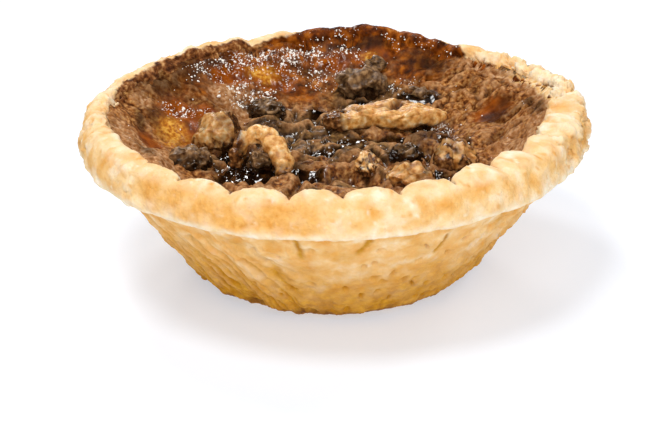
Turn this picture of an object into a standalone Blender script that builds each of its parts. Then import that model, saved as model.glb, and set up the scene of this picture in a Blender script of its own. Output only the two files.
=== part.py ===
"""A baked butter tart: a crimped shortcrust case round a sunken syrup filling with walnuts and raisins in it.

Lengths are in metres and +Z is up. The origin is at the centre of the flat base, and the front is towards -Y.
"""

import math

import bmesh
import bpy
from mathutils import Euler, Matrix, Vector, noise

MM = 0.001
MERGE_DISTANCE = 0.01 * MM

# Driving sizes of the pastry case
RIM_RADIUS = 42.5 * MM  # the widest point, at the lower edge of the rim
RIM_EDGE_HEIGHT = 23.4 * MM
CREST_RADIUS = 38.9 * MM
CREST_HEIGHT = 29.3 * MM
LIP_RADIUS = 37.3 * MM  # inner edge of the rim
LIP_HEIGHT = 27.4 * MM
FRONT_RISE = 0.6 * MM  # the crest is this much higher at the front, and lower at the back
WALL_TOP_RADIUS = 39.7 * MM
WALL_TOP_HEIGHT = 22.2 * MM
WALL_SPREAD = 0.75  # how far the wall runs out for each step up
BASE_RADIUS = 18.5 * MM
BASE_CORNER_HEIGHT = 3.0 * MM
CASE_WALL = 4.0 * MM  # pastry thickness, square to the wall
CASE_FLOOR = 3.8 * MM
SHOULDER_RADIUS = 34.4 * MM  # where the inside wall turns steeper, below the rim
SHOULDER_HEIGHT = 22.0 * MM
RIM_EDGE_ROUNDING = 0.5 * MM

# Where the case's profile has its points: degrees round the lip and round the rim's face, then shares of the
# wall's height and of the curve at the base's corner
LIP_ANGLES = (180, 140, 115, 90)
FACE_ANGLES = (66, 44, 22, 0)
WALL_SHARES = (0.33, 0.67)
CORNER_SHARES = (0.35, 0.7, 1.0)

# The crimped lobes round the rim
LOBE_COUNT = 27
STEPS_PER_LOBE = 5
LOBE_ANGLE = 2 * math.pi / LOBE_COUNT
FIRST_NOTCH = math.radians(-88.0)  # the notch nearest the front
NOTCH_DEPTH = 2.0 * MM
NOTCH_INSET = 1.1 * MM
LOBE_ROUNDNESS = 0.6  # below 1 the lobes are domes with sharp notches between them
LOBE_DEPTH = (0.85, 0.35)  # share of the notch depth: its mean, and how much it varies from lobe to lobe
LOBE_SWING = math.radians(1.3)  # no two lobes are quite the same width
CRIMP_REACH = 5.2 * MM  # the notches fade out this far from the lip, down the face of the rim

# Relief of the baked pastry
RIM_WANDER = 0.5 * MM
CRUMB_RELIEF = 0.45 * MM
CRUMB_SIZE = 5.0 * MM
CRUMB_BAND = 21 * MM  # the crumb relief begins this far inside the lip's radius, at the foot of the wall
WALL_RIDGE = 0.5 * MM
WALL_RIDGE_LENGTH = 30 * MM
BASE_CHIP = 1.4 * MM

# Where a kind of relief begins, and the distance over which it grows to its full depth
RIM_FADE = (22.3 * MM, 2 * MM)
CREST_FADE = (24.5 * MM, 3 * MM)
WALL_TOP_FADE = (19 * MM, 3 * MM)
WALL_FOOT_FADE = (0, 3 * MM)
CRUMB_FOOT_FADE = (0.2 * MM, 2 * MM)
CHIP_FADE = (0.1 * MM, 3 * MM)
CRUMB_BAND_FADE = 3 * MM

# Noise round the tart: the row that it is read from, and how much detail it has
LOBE_DEPTH_NOISE = (7.3, 3.0)
RIM_NOISE = (2.1, 1.7)
CREST_NOISE = (4.6, 2.2)
RIDGE_NOISE = (9.0, 9.0)
CHIP_NOISE = (12.4, 3.2)
SWING_NOISE = (15.2, 3.0)
CRUMB_OCTAVES = (0.8, 2.1, 3)  # roughness, step in size and number of layers

# Broad dents that push the rim inwards: angle and half width in degrees, then depth
RIM_DENTS = (
    (133, 27, 2.0),
    (60, 17, 1.2),
)
DENT_FADE = (14 * MM, 9 * MM)  # the height where a dent begins in the wall, and where it is at its full depth

# The filling
GAP = 0.3 * MM  # clearance between pieces that touch
FILLING_FLOOR = 20.1 * MM  # level of the sunken middle
FILM_EDGE_HEIGHT = 27.3 * MM
FILM_EDGE_RADIUS = LIP_RADIUS - 0.4 * MM
FLOOR_RADIUS = 24.0 * MM  # the flat middle ends here, and the climb to the rim begins
CLIMB_CURVE = 1.6
FILLING_SEGMENTS = 78
FILLING_RINGS = 11
SKIN_RELIEF = 1.1 * MM
SKIN_SIZE = 6.5 * MM
SKIN_OCTAVES = (0.7, 2.2, 2)
EDGE_FADE = 4 * MM  # the relief of the skin dies away over this distance to its edge

# Folds and swellings in the skin: centre x and y, half length, half width, height and turn in degrees
SKIN_SWELLINGS = (
    (-1.5, -8.0, 5.5, 1.8, 1.5, 4),
    (-8.5, 12.5, 5.5, 2.0, 1.5, -55),
    (-25.5, 12.0, 4.5, 2.4, 1.4, 60),
    (22.5, 3.5, 5.5, 2.2, 1.3, 75),
    (17.5, -13.5, 3.5, 2.0, 1.0, 35),
    (-2.0, -19.0, 7.0, 2.2, 1.0, 3),
    (-29.5, -7.5, 4.5, 1.8, 1.1, -72),
    (14.8, 4.0, 4.0, 1.5, 0.9, 20),
)

# Rounded pieces: node name, centre, half sizes, turn in degrees, depth of the wrinkles and their frequency
ROUNDED_PIECES = (
    ("walnut_left", (-19.5, 5.2, 21.4), (4.2, 3.7, 4.3), (0, -8, 20), 0.14, 1.1),
    ("walnut_front", (5.3, -8.6, 21.2), (1.9, 4.3, 2.0), (-9, 0, 4), 0.16, 1.6),
    ("walnut_front_right", (12.4, -13.4, 21.0), (3.7, 2.6, 2.3), (0, 6, 12), 0.14, 1.2),
    ("walnut_right", (19.9, -6.0, 21.0), (3.5, 3.3, 3.0), (0, 10, -20), 0.14, 1.2),
    ("raisin_left", (-24.2, -4.4, 20.9), (3.7, 2.6, 2.3), (0, -8, -12), 0.18, 1.9),
    ("raisin_under_arch", (-12.3, -5.2, 20.7), (2.1, 1.7, 1.8), (0, 0, 15), 0.16, 2.0),
    ("raisin_back", (5.2, 25.2, 22.3), (4.3, 3.0, 3.1), (0, 4, 6), 0.14, 1.5),
    ("raisin_back_top", (7.9, 29.5, 24.6), (1.9, 1.3, 1.2), (10, 5, 10), 0.12, 2.0),
    ("raisin_right", (12.0, -3.4, 20.5), (2.7, 2.0, 1.8), (0, 0, -10), 0.20, 2.2),
    ("raisin_centre", (-11.6, 18.6, 20.6), (3.2, 2.4, 1.9), (0, 0, -18), 0.18, 2.0),
    ("raisin_back_right", (15.2, 23.4, 21.2), (3.1, 1.4, 1.2), (0, -4, -14), 0.16, 2.0),
)
ROUNDED_LEVEL = 3
FOLD_DEPTH = 3  # a wrinkle is this much deeper than the swellings between wrinkles are high

# The flat walnut piece in the middle
PLATE_CENTRE = (8.7, 12.8, 21.3)
PLATE_HALF = (8.9, 5.0, 1.9)
PLATE_TURN = 4
PLATE_SEGMENTS = 30
PLATE_RINGS = 9
PLATE_LOBES = ((2, 0.10, 0.3), (3, 0.16, 1.9), (5, 0.09, 0.8))  # waves in the outline: count, depth, phase
PLATE_FOLDS = (2.4, 1.8, 3.7)  # folds along and across the plate, and the row of noise they are read from
PLATE_FOLD_DEPTH = 0.35
PLATE_FLATNESS = 0.8  # below 1 the top and the underside are flatter than a ball's

# The curled walnut piece on the left: the line it follows and its half thickness
ARCH_LINE = (
    (-16.7, -4.7, 19.9),
    (-16.2, -4.1, 21.9),
    (-14.9, -3.1, 24.0),
    (-12.8, -2.4, 24.8),
    (-10.6, -3.2, 24.5),
    (-8.9, -4.8, 23.3),
    (-7.9, -6.6, 21.6),
    (-7.5, -8.2, 19.6),
)
ARCH_RADIUS = 1.25 * MM
ARCH_THICKNESS = (0.8, 0.95, 1.05, 1.1, 1.15, 1.1, 1.05, 0.9)

# Colours and finishes: base colour, roughness
PASTRY = ("baked shortcrust", (0.80, 0.50, 0.20, 1), 0.65)
SYRUP_SKIN = ("baked syrup", (0.13, 0.052, 0.018, 1), 0.30)
WALNUT = ("toasted walnut", (0.50, 0.27, 0.10, 1), 0.45)
RAISIN = ("raisin", (0.045, 0.020, 0.010, 1), 0.35)


def remove_everything():
    for obj in list(bpy.data.objects):
        bpy.data.objects.remove(obj)


def new_collection(name):
    collection = bpy.data.collections.new(name)
    bpy.context.scene.collection.children.link(collection)
    return collection


def new_material(name, colour, roughness):
    material = bpy.data.materials.new(name)
    material.use_nodes = True
    shader = material.node_tree.nodes["Principled BSDF"]
    shader.inputs["Base Color"].default_value = colour
    shader.inputs["Roughness"].default_value = roughness
    shader.inputs["Metallic"].default_value = 0.0
    material.diffuse_color = colour
    return material


def new_object(name, data, collection):
    obj = bpy.data.objects.new(name, data)
    collection.objects.link(obj)
    return obj


def finish(obj, material):
    """Gives a piece its material and smooth shading."""
    obj.data.materials.clear()
    obj.data.materials.append(material)
    obj.data.shade_smooth()


def smooth_step(value):
    value = min(1.0, max(0.0, value))
    return value * value * (3 - 2 * value)


def fade_in(value, fade):
    """0 up to where the fade starts, and 1 from the end of its length."""
    start, length = fade
    return smooth_step((value - start) / length)


def point_on_ellipse(centre, half_sizes, degrees):
    """Radius and height of a point on an ellipse in the profile's plane."""
    angle = math.radians(degrees)
    return (
        centre[0] + half_sizes[0] * math.cos(angle),
        centre[1] + half_sizes[1] * math.sin(angle),
    )


def wall_radius(height):
    """Radius of the outer wall at a height, before any relief."""
    return WALL_TOP_RADIUS - WALL_SPREAD * (WALL_TOP_HEIGHT - height)


def inner_foot_radius():
    """Radius of the cavity where its wall meets its floor."""
    across = CASE_WALL * math.hypot(1, WALL_SPREAD)
    return wall_radius(CASE_FLOOR) - across


def case_profile():
    """Radius and height along the case: from the middle of the cavity, over the rim, to the base's middle."""
    points = [
        (0, CASE_FLOOR),
        (inner_foot_radius(), CASE_FLOOR),
        (SHOULDER_RADIUS, SHOULDER_HEIGHT),
    ]
    lip_centre = (CREST_RADIUS, LIP_HEIGHT)
    lip_half = (CREST_RADIUS - LIP_RADIUS, CREST_HEIGHT - LIP_HEIGHT)
    points += [point_on_ellipse(lip_centre, lip_half, a) for a in LIP_ANGLES]
    face_centre = (CREST_RADIUS, RIM_EDGE_HEIGHT)
    face_half = (RIM_RADIUS - CREST_RADIUS, CREST_HEIGHT - RIM_EDGE_HEIGHT)
    points += [point_on_ellipse(face_centre, face_half, a) for a in FACE_ANGLES]
    points += [
        (RIM_RADIUS - RIM_EDGE_ROUNDING, WALL_TOP_HEIGHT + RIM_EDGE_ROUNDING),
        (WALL_TOP_RADIUS, WALL_TOP_HEIGHT),
    ]
    for share in WALL_SHARES:
        height = WALL_TOP_HEIGHT + share * (BASE_CORNER_HEIGHT - WALL_TOP_HEIGHT)
        points.append((wall_radius(height), height))
    corner_top = Vector((wall_radius(BASE_CORNER_HEIGHT), BASE_CORNER_HEIGHT))
    corner_end = Vector((BASE_RADIUS, 0))
    turn = Vector((wall_radius(0), 0))  # the rounded corner is a quadratic curve that turns about this point
    points.append(tuple(corner_top))
    for t in CORNER_SHARES:
        points.append(tuple((1 - t) ** 2 * corner_top + 2 * t * (1 - t) * turn + t**2 * corner_end))
    points.append((0, 0))
    return points


def filling_side_profile():
    """Radius and height of the filling's outside, from the middle of its underside to its top edge."""
    sideways = GAP * math.hypot(1, WALL_SPREAD)
    return [
        (0, CASE_FLOOR + GAP),
        (inner_foot_radius() - sideways + GAP * WALL_SPREAD, CASE_FLOOR + GAP),
        (SHOULDER_RADIUS - sideways, SHOULDER_HEIGHT),
        (FILM_EDGE_RADIUS, FILM_EDGE_HEIGHT),
    ]


def turned_mesh(name, profile, steps):
    """A closed mesh from a profile turned round the Z axis by a Screw modifier."""
    outline = bpy.data.meshes.new(name + " profile")
    corners = [(radius, 0, height) for radius, height in profile]
    outline.from_pydata(corners, [(i, i + 1) for i in range(len(corners) - 1)], [])
    source = new_object(name + " profile", outline, bpy.context.scene.collection)
    screw = source.modifiers.new("Turn", "SCREW")
    screw.steps = screw.render_steps = steps
    screw.use_merge_vertices = True
    screw.merge_threshold = MERGE_DISTANCE
    bpy.context.view_layer.update()
    graph = bpy.context.evaluated_depsgraph_get()
    mesh = bpy.data.meshes.new_from_object(source.evaluated_get(graph))
    mesh.name = name
    bpy.data.objects.remove(source)
    face_outwards(mesh)
    return mesh


def face_outwards(mesh):
    work = bmesh.new()
    work.from_mesh(mesh)
    bmesh.ops.remove_doubles(work, verts=work.verts, dist=MERGE_DISTANCE)
    bmesh.ops.recalc_face_normals(work, faces=work.faces)
    work.to_mesh(mesh)
    work.free()


def notch_amount(angle):
    """0 on top of a lobe, and 1 in the notch between two lobes."""
    share = ((angle - FIRST_NOTCH) / LOBE_ANGLE) % 1.0
    return 1 - math.sin(math.pi * share) ** LOBE_ROUNDNESS


def round_the_rim(angle, source, rise=0.0):
    """Smooth noise from -1 to 1 that goes round the tart and meets itself."""
    row, detail = source
    return noise.noise(Vector((detail * math.cos(angle), detail * math.sin(angle), row + rise)))


def lobe_depth(angle):
    """Share of the full notch depth that the crimping reached at an angle."""
    mean, variation = LOBE_DEPTH
    return mean + variation * round_the_rim(angle, LOBE_DEPTH_NOISE)


def case_relief(point):
    """Where baking and crimping move a point of the plain turned case."""
    radius = math.hypot(point.x, point.y)
    under_filling = radius < LIP_RADIUS and radius < wall_radius(point.z) - CASE_WALL / 2
    if under_filling and point.z > GAP:
        return point.copy()
    angle = math.atan2(point.y, point.x)
    height = point.z
    on_rim = fade_in(height, RIM_FADE)
    near_crest = fade_in(height, CREST_FADE) * (1 - fade_in(radius, (LIP_RADIUS, CRIMP_REACH)))
    notch = near_crest * notch_amount(angle) * lobe_depth(angle)
    radius += NOTCH_INSET * notch
    height -= NOTCH_DEPTH * notch
    radius += on_rim * RIM_WANDER * round_the_rim(angle, RIM_NOISE)
    height += near_crest * (RIM_WANDER * round_the_rim(angle, CREST_NOISE) - FRONT_RISE * math.sin(angle))
    crumb = noise.fractal(point / CRUMB_SIZE, *CRUMB_OCTAVES)
    crumb *= fade_in(point.z, CRUMB_FOOT_FADE) * fade_in(radius, (LIP_RADIUS - CRUMB_BAND, CRUMB_BAND_FADE))
    radius += CRUMB_RELIEF * crumb
    on_wall = fade_in(point.z, WALL_FOOT_FADE) * (1 - fade_in(point.z, WALL_TOP_FADE))
    radius -= WALL_RIDGE * on_wall * abs(round_the_rim(angle, RIDGE_NOISE, height / WALL_RIDGE_LENGTH))
    at_foot = 1 - fade_in(point.z, CHIP_FADE)
    radius -= BASE_CHIP * at_foot * max(0.0, round_the_rim(angle, CHIP_NOISE))
    angle += LOBE_SWING * on_rim * round_the_rim(angle, SWING_NOISE)
    return Vector((radius * math.cos(angle), radius * math.sin(angle), height))


def dented(point):
    """Where the broad dents of the rim move a point of the case or of the filling."""
    angle = math.degrees(math.atan2(point.y, point.x))
    depth = 0.0
    for middle, half_width, dent in RIM_DENTS:
        depth += dent * MM * math.exp(-((math.remainder(angle - middle, 360) / half_width) ** 2))
    share = depth * fade_in(point.z, DENT_FADE) / RIM_RADIUS
    return Vector((point.x * (1 - share), point.y * (1 - share), point.z))


def make_case(collection, material):
    mesh = turned_mesh("pastry_shell", case_profile(), LOBE_COUNT * STEPS_PER_LOBE)
    for vertex in mesh.vertices:
        if vertex.co.xy.length > GAP:
            vertex.co = dented(case_relief(vertex.co))
    case = new_object("pastry_shell", mesh, collection)
    finish(case, material)
    return case


def swelling_height(x, y):
    """How far the folds lift the skin at a place."""
    lift = 0.0
    for centre_x, centre_y, half_length, half_width, height, turn in SKIN_SWELLINGS:
        c, s = math.cos(math.radians(turn)), math.sin(math.radians(turn))
        dx, dy = x - centre_x * MM, y - centre_y * MM
        along = (c * dx + s * dy) / (half_length * MM)
        across = (-s * dx + c * dy) / (half_width * MM)
        lift += height * MM * math.exp(-(along**2 + across**2))
    return lift


def filling_height(x, y):
    """Height of the filling's top: a flat sunken middle that climbs to a film on the rim."""
    radius = math.hypot(x, y)
    climb = max(0.0, (radius - FLOOR_RADIUS) / (FILM_EDGE_RADIUS - FLOOR_RADIUS))
    height = FILLING_FLOOR + (FILM_EDGE_HEIGHT - FILLING_FLOOR) * climb**CLIMB_CURVE
    inside_edge = 1 - fade_in(radius, (FILM_EDGE_RADIUS - EDGE_FADE, EDGE_FADE))
    rumple = noise.fractal(Vector((x, y, 0)) / SKIN_SIZE, *SKIN_OCTAVES)
    return height + inside_edge * (swelling_height(x, y) + SKIN_RELIEF * rumple)


def filling_profile():
    """The filling's profile: from the middle of its top to its edge, then down its side and in underneath."""
    top = [(FILM_EDGE_RADIUS * step / FILLING_RINGS, FILM_EDGE_HEIGHT) for step in range(FILLING_RINGS)]
    return top + list(reversed(filling_side_profile()))


def make_filling(collection, material, cutters):
    mesh = turned_mesh("filling", filling_profile(), FILLING_SEGMENTS)
    for vertex in mesh.vertices:
        on_top = vertex.co.z > FILM_EDGE_HEIGHT - MERGE_DISTANCE
        if on_top and vertex.co.xy.length < FILM_EDGE_RADIUS - MERGE_DISTANCE:
            vertex.co.z = filling_height(vertex.co.x, vertex.co.y)
        vertex.co = dented(vertex.co)
    filling = new_object("filling", mesh, collection)
    finish(filling, material)
    for cutter in cutters:
        pocket = filling.modifiers.new("Pocket of " + cutter.name, "BOOLEAN")
        pocket.operation = "DIFFERENCE"
        pocket.solver = "EXACT"
        pocket.object = cutter
    return filling


def make_rounded_piece(collection, material, name, centre, half_sizes, turn, wrinkle, frequency):
    """A walnut lobe or a raisin: a ball drawn out to its half sizes, with rounded wrinkles in its surface."""
    work = bmesh.new()
    bmesh.ops.create_icosphere(work, subdivisions=ROUNDED_LEVEL, radius=1.0)
    seed = Vector(centre)
    for vertex in work.verts:
        fold = abs(noise.noise(vertex.co * frequency + seed))
        vertex.co *= 1 + wrinkle * (1 - FOLD_DEPTH * fold)
    turned = Euler([math.radians(a) for a in turn]).to_matrix().to_4x4()
    size = Matrix.Diagonal((*[h * MM for h in half_sizes], 1))
    work.transform(turned @ size)
    mesh = bpy.data.meshes.new(name)
    work.to_mesh(mesh)
    work.free()
    piece = new_object(name, mesh, collection)
    piece.location = [c * MM for c in centre]
    finish(piece, material)
    return piece


def plate_outline(angle):
    """Share of the flat walnut's half size at an angle round it."""
    return 1 + sum(depth * math.cos(count * angle + phase) for count, depth, phase in PLATE_LOBES)


def make_walnut_plate(collection, material):
    """The flat broken walnut piece, with a lobed outline and low folds on top."""
    work = bmesh.new()
    bmesh.ops.create_uvsphere(work, u_segments=PLATE_SEGMENTS, v_segments=PLATE_RINGS, radius=1.0)
    for vertex in work.verts:
        share = plate_outline(math.atan2(vertex.co.y, vertex.co.x))
        vertex.co.x *= share
        vertex.co.y *= share
        along, across, row = PLATE_FOLDS
        fold = 1 + PLATE_FOLD_DEPTH * noise.noise(Vector((vertex.co.x * along, vertex.co.y * across, row)))
        vertex.co.z = fold * math.copysign(abs(vertex.co.z) ** PLATE_FLATNESS, vertex.co.z)
    work.transform(Matrix.Diagonal((*[h * MM for h in PLATE_HALF], 1)))
    mesh = bpy.data.meshes.new("walnut_centre")
    work.to_mesh(mesh)
    work.free()
    plate = new_object("walnut_centre", mesh, collection)
    plate.location = [c * MM for c in PLATE_CENTRE]
    plate.rotation_euler.z = math.radians(PLATE_TURN)
    finish(plate, material)
    return plate


def make_walnut_arch(collection, material):
    """The curled walnut piece: a thick bent finger with both ends in the filling."""
    curve = bpy.data.curves.new("walnut_arch", "CURVE")
    curve.dimensions = "3D"
    curve.bevel_depth = ARCH_RADIUS
    curve.bevel_resolution = 2
    curve.use_fill_caps = True
    line = curve.splines.new("POLY")
    line.points.add(len(ARCH_LINE) - 1)
    for point, place, thickness in zip(line.points, ARCH_LINE, ARCH_THICKNESS):
        point.co = (*[c * MM for c in place], 1)
        point.radius = thickness
    drawn = new_object("walnut_arch line", curve, bpy.context.scene.collection)
    bpy.context.view_layer.update()
    graph = bpy.context.evaluated_depsgraph_get()
    mesh = bpy.data.meshes.new_from_object(drawn.evaluated_get(graph))
    mesh.name = "walnut_arch"
    bpy.data.objects.remove(drawn)
    face_outwards(mesh)
    arch = new_object("walnut_arch", mesh, collection)
    finish(arch, material)
    return arch


def make_cutter(piece, collection):
    """A copy of a piece, larger all round by the gap, that cuts its pocket in the filling."""
    cutter = new_object(piece.name + " pocket", piece.data.copy(), collection)
    cutter.matrix_basis = piece.matrix_basis.copy()
    for vertex in cutter.data.vertices:
        vertex.co += vertex.normal * GAP
    cutter.hide_render = True
    cutter.display_type = "WIRE"
    return cutter


def centre_over_origin(case, others):
    """Moves everything sideways so that the case's box is centred on the Z axis."""
    for axis in (0, 1):
        values = [vertex.co[axis] for vertex in case.data.vertices]
        shift = -(min(values) + max(values)) / 2
        for obj in [case, *others]:
            obj.location[axis] += shift


def main():
    remove_everything()
    tart = new_collection("butter tart")
    pockets = new_collection("pocket cutters")
    pastry, syrup, walnut, raisin = [new_material(*m) for m in (PASTRY, SYRUP_SKIN, WALNUT, RAISIN)]
    case = make_case(tart, pastry)
    pieces = []
    for name, *shape in ROUNDED_PIECES:
        pieces.append(make_rounded_piece(tart, walnut if name.startswith("walnut") else raisin, name, *shape))
    pieces.append(make_walnut_plate(tart, walnut))
    pieces.append(make_walnut_arch(tart, walnut))
    cutters = [make_cutter(piece, pockets) for piece in pieces]
    filling = make_filling(tart, syrup, cutters)
    centre_over_origin(case, [filling, *pieces, *cutters])


main()
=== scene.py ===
# %% [markdown]
# # A baked butter tart
# A butter tart is a small shortcrust case filled with butter, brown sugar and egg. In the oven the filling
# boils up, browns to a skin and sinks again, with walnuts and raisins caught in it. This lesson makes the
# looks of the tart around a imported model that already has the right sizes. Each step says what the real
# thing is and how it could be made, and then makes it.

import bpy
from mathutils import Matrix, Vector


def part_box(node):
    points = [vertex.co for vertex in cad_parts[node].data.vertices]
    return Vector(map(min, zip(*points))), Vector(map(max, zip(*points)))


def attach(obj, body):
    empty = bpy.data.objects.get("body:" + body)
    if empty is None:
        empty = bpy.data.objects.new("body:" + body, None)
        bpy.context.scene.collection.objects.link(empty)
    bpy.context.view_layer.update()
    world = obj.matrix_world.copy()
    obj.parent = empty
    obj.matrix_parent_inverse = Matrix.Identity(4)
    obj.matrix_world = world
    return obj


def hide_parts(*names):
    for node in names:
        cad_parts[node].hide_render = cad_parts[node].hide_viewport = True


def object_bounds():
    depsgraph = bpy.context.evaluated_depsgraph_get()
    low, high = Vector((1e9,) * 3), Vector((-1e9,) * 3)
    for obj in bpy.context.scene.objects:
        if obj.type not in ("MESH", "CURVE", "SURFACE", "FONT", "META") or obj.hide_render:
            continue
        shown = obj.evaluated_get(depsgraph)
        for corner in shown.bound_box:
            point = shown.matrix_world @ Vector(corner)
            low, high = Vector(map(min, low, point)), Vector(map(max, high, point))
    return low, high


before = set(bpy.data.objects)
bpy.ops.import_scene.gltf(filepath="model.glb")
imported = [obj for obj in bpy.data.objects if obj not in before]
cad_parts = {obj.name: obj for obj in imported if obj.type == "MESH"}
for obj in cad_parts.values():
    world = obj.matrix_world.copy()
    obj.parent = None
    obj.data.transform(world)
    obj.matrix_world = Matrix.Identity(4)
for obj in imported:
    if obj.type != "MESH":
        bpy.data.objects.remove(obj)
cad_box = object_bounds()
print("nodes:", ", ".join(sorted(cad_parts)))

# %% Tools and units
import itertools
import math

import bmesh
import bpy
import numpy as np
from mathutils import Euler, Matrix, Vector, noise

MM = 0.001
print("box of the solids in mm:", [round((high - low) / MM, 1) for low, high in zip(*cad_box)])

# %% [markdown]
# ## Colours
# Cooks and painters name a colour by how it looks on a screen, in sRGB. Blender mixes light in linear
# numbers, in which half as much light is half the number. One function turns a hex colour into those
# numbers, so every colour below can be read and given as it looks on a screen.


# %% From a screen's hex colour to linear light
def paint(hex_colour):
    """The linear red, green, blue and alpha of a colour like #c98f4e."""
    channels = [int(hex_colour[start : start + 2], 16) / 255 for start in (1, 3, 5)]
    linear = [c / 12.92 if c <= 0.04045 else ((c + 0.055) / 1.055) ** 2.4 for c in channels]
    return (*linear, 1.0)


print("mid grey is", round(paint("#808080")[0], 3), "of the light that white gives")

# %% [markdown]
# ## The camera
# The photograph looks down at the tart from the front, from a little above, with a long lens: the far side
# of the rim is hardly smaller than the near side. A camera could be moved by hand until the outline fits.
# Here its height, distance and lens were worked out once, so that the rim's ellipse and the base fall where
# the photograph has them, and a small roll matches its slightly tilted table line.

# %% The camera
IMAGE_WIDTH, IMAGE_HEIGHT = 668, 445  # pixels
SENSOR_WIDTH = 36.0  # mm of film across the picture
LENS = 144.12  # mm
CAMERA_DISTANCE = 450 * MM
CAMERA_ELEVATION = math.radians(23.07)
CAMERA_ROLL = math.radians(1.288)
AIM_POINT = Vector((-0.4 * MM, 0, 15 * MM))  # a point inside the tart
AIM_PIXEL_Y = 180.4  # how far down the picture shows that point

focal_pixels = LENS / SENSOR_WIDTH * IMAGE_WIDTH
backwards = Vector((0, -math.cos(CAMERA_ELEVATION), math.sin(CAMERA_ELEVATION)))
tilt = math.atan((IMAGE_HEIGHT / 2 - AIM_PIXEL_Y) / focal_pixels)
level = Vector((1, 0, 0))
lens_axis = Matrix.Rotation(-tilt, 3, level) @ backwards
upwards = lens_axis.cross(level)
right_edge = level * math.cos(CAMERA_ROLL) - upwards * math.sin(CAMERA_ROLL)
top_edge = upwards * math.cos(CAMERA_ROLL) + level * math.sin(CAMERA_ROLL)

camera_data = bpy.data.cameras.new("camera")
camera_data.lens = LENS
camera_data.sensor_width = SENSOR_WIDTH
camera_data.clip_start = 10 * MM
camera = bpy.data.objects.new("camera", camera_data)
bpy.context.scene.collection.objects.link(camera)
turned = Matrix((right_edge, top_edge, lens_axis)).transposed().to_4x4()
camera.matrix_world = Matrix.Translation(AIM_POINT + backwards * CAMERA_DISTANCE) @ turned
bpy.context.scene.camera = camera
print("one mm on the tart is about", round(focal_pixels / CAMERA_DISTANCE * MM, 1), "pixels")

# %% [markdown]
# ## One function for every material node
# A material is a small graph of nodes. Making each node takes the same few steps: create it, set its own
# options, fill in the values of its sockets and link what feeds them. One function does these steps, so that
# each material below reads as a short list of what it is made of. The part that fills in sockets serves
# the main shader of each material too.


# %% Adding a node
def fill(tree, node, inputs):
    """Gives each named socket of a node its value, or links the output that feeds it."""
    for name, value in inputs.items():
        if isinstance(value, bpy.types.NodeSocket):
            tree.links.new(value, node.inputs[name])
        else:
            node.inputs[name].default_value = value


def add_node(tree, kind, inputs=None, stops=None, output=0, **settings):
    """Adds a node and gives one of its outputs. An input is a value or the output that feeds it."""
    node = tree.nodes.new("ShaderNode" + kind)
    for name, value in settings.items():
        setattr(node, name, value)
    fill(tree, node, inputs or {})
    for number, (position, hex_colour) in enumerate(stops or ()):
        elements = node.color_ramp.elements
        element = elements[number] if number < len(elements) else elements.new(position)
        element.position = position
        element.color = paint(hex_colour)
    return node.outputs[output]


def new_material(name):
    """A material, its nodes, its main shader and the output that gives the place on the tart in metres."""
    material = bpy.data.materials.new(name)
    material.use_nodes = True
    tree = material.node_tree
    return material, tree, tree.nodes["Principled BSDF"], add_node(tree, "TexCoord", output="Object")


shader_nodes = [kind for kind in dir(bpy.types) if kind.startswith("ShaderNode")]
print("kinds of material node to choose from:", len(shader_nodes))

# %% Looks laid over each other
# The colour sockets of a Mix node go by number: its factor, its two colours and its result
FACTOR, COLOUR_A, COLOUR_B, MIXED = 0, 6, 7, 2


def layered_colour(tree, place, layers):
    """Looks laid over each other, each with a stored mask, a patch size in mm and the patches' colours."""
    colour = None
    for mask, size, stops in layers:
        patches = add_node(tree, "TexNoise", {"Vector": place, "Scale": 1 / (size * MM), "Detail": 4.0})
        shades = add_node(tree, "ValToRGB", {"Fac": patches}, stops)
        if colour is None:
            colour = shades
            continue
        amount = add_node(tree, "Attribute", output="Fac", attribute_name=mask)
        looks = {FACTOR: amount, COLOUR_A: colour, COLOUR_B: shades}
        colour = add_node(tree, "Mix", looks, output=MIXED, data_type="RGBA")
    return colour


print("a Mix node takes its two colours at sockets", COLOUR_A, "and", COLOUR_B)

# %% [markdown]
# ## Floor and light
# Food is often photographed on white, under large soft lamps: shadows stay faint and the crust looks warm.
# The floor could be plain card, but card beside warm pastry takes on a brown shadow. So it is a sheet of
# white acrylic that also glows a little from below, as a light table does. A wide lamp above and a little
# behind gives the wet syrup its glints, since a glint shows only where the lamp, the surface and the eye
# line up. A broad lamp from the front lifts the rim, and the pale surroundings fill in the rest. Neither of
# these two shows in reflections, where they would lay a grey veil over the dark syrup.


# %% The floor
FLOOR_HALF = 2.0  # metres
FLOOR_GLOW = 0.5  # light that comes up through the sheet, which keeps the shadow pale and neutral
work = bmesh.new()
bmesh.ops.create_grid(work, x_segments=1, y_segments=1, size=FLOOR_HALF)
floor_mesh = bpy.data.meshes.new("floor")
work.to_mesh(floor_mesh)
work.free()
floor = bpy.data.objects.new("floor", floor_mesh)
bpy.context.scene.collection.objects.link(floor)
# Cast acrylic with a sanded face: even, without glints, and a little brighter than what lights it from above
sheet, _, shader, _ = new_material("matt white acrylic")
glowing = {"Base Color": paint("#bcc0c6"), "Roughness": 0.9}
glowing.update({"Emission Color": paint("#f4f8ff"), "Emission Strength": FLOOR_GLOW})
fill(sheet.node_tree, shader, glowing)
floor_mesh.materials.append(sheet)
print("the floor is", 2 * FLOOR_HALF, "m wide")

# %% The lamps
AIM = Vector((0, 0, 20 * MM))


def add_softbox(name, place, size, watts):
    """A round lamp that faces the tart."""
    data = bpy.data.lights.new(name, "AREA")
    data.shape = "DISK"
    data.size = size
    data.energy = watts
    lamp = bpy.data.objects.new(name, data)
    bpy.context.scene.collection.objects.link(lamp)
    lamp.location = place
    lamp.rotation_euler = (AIM - Vector(place)).to_track_quat("-Z", "Y").to_euler()
    return lamp


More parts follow.
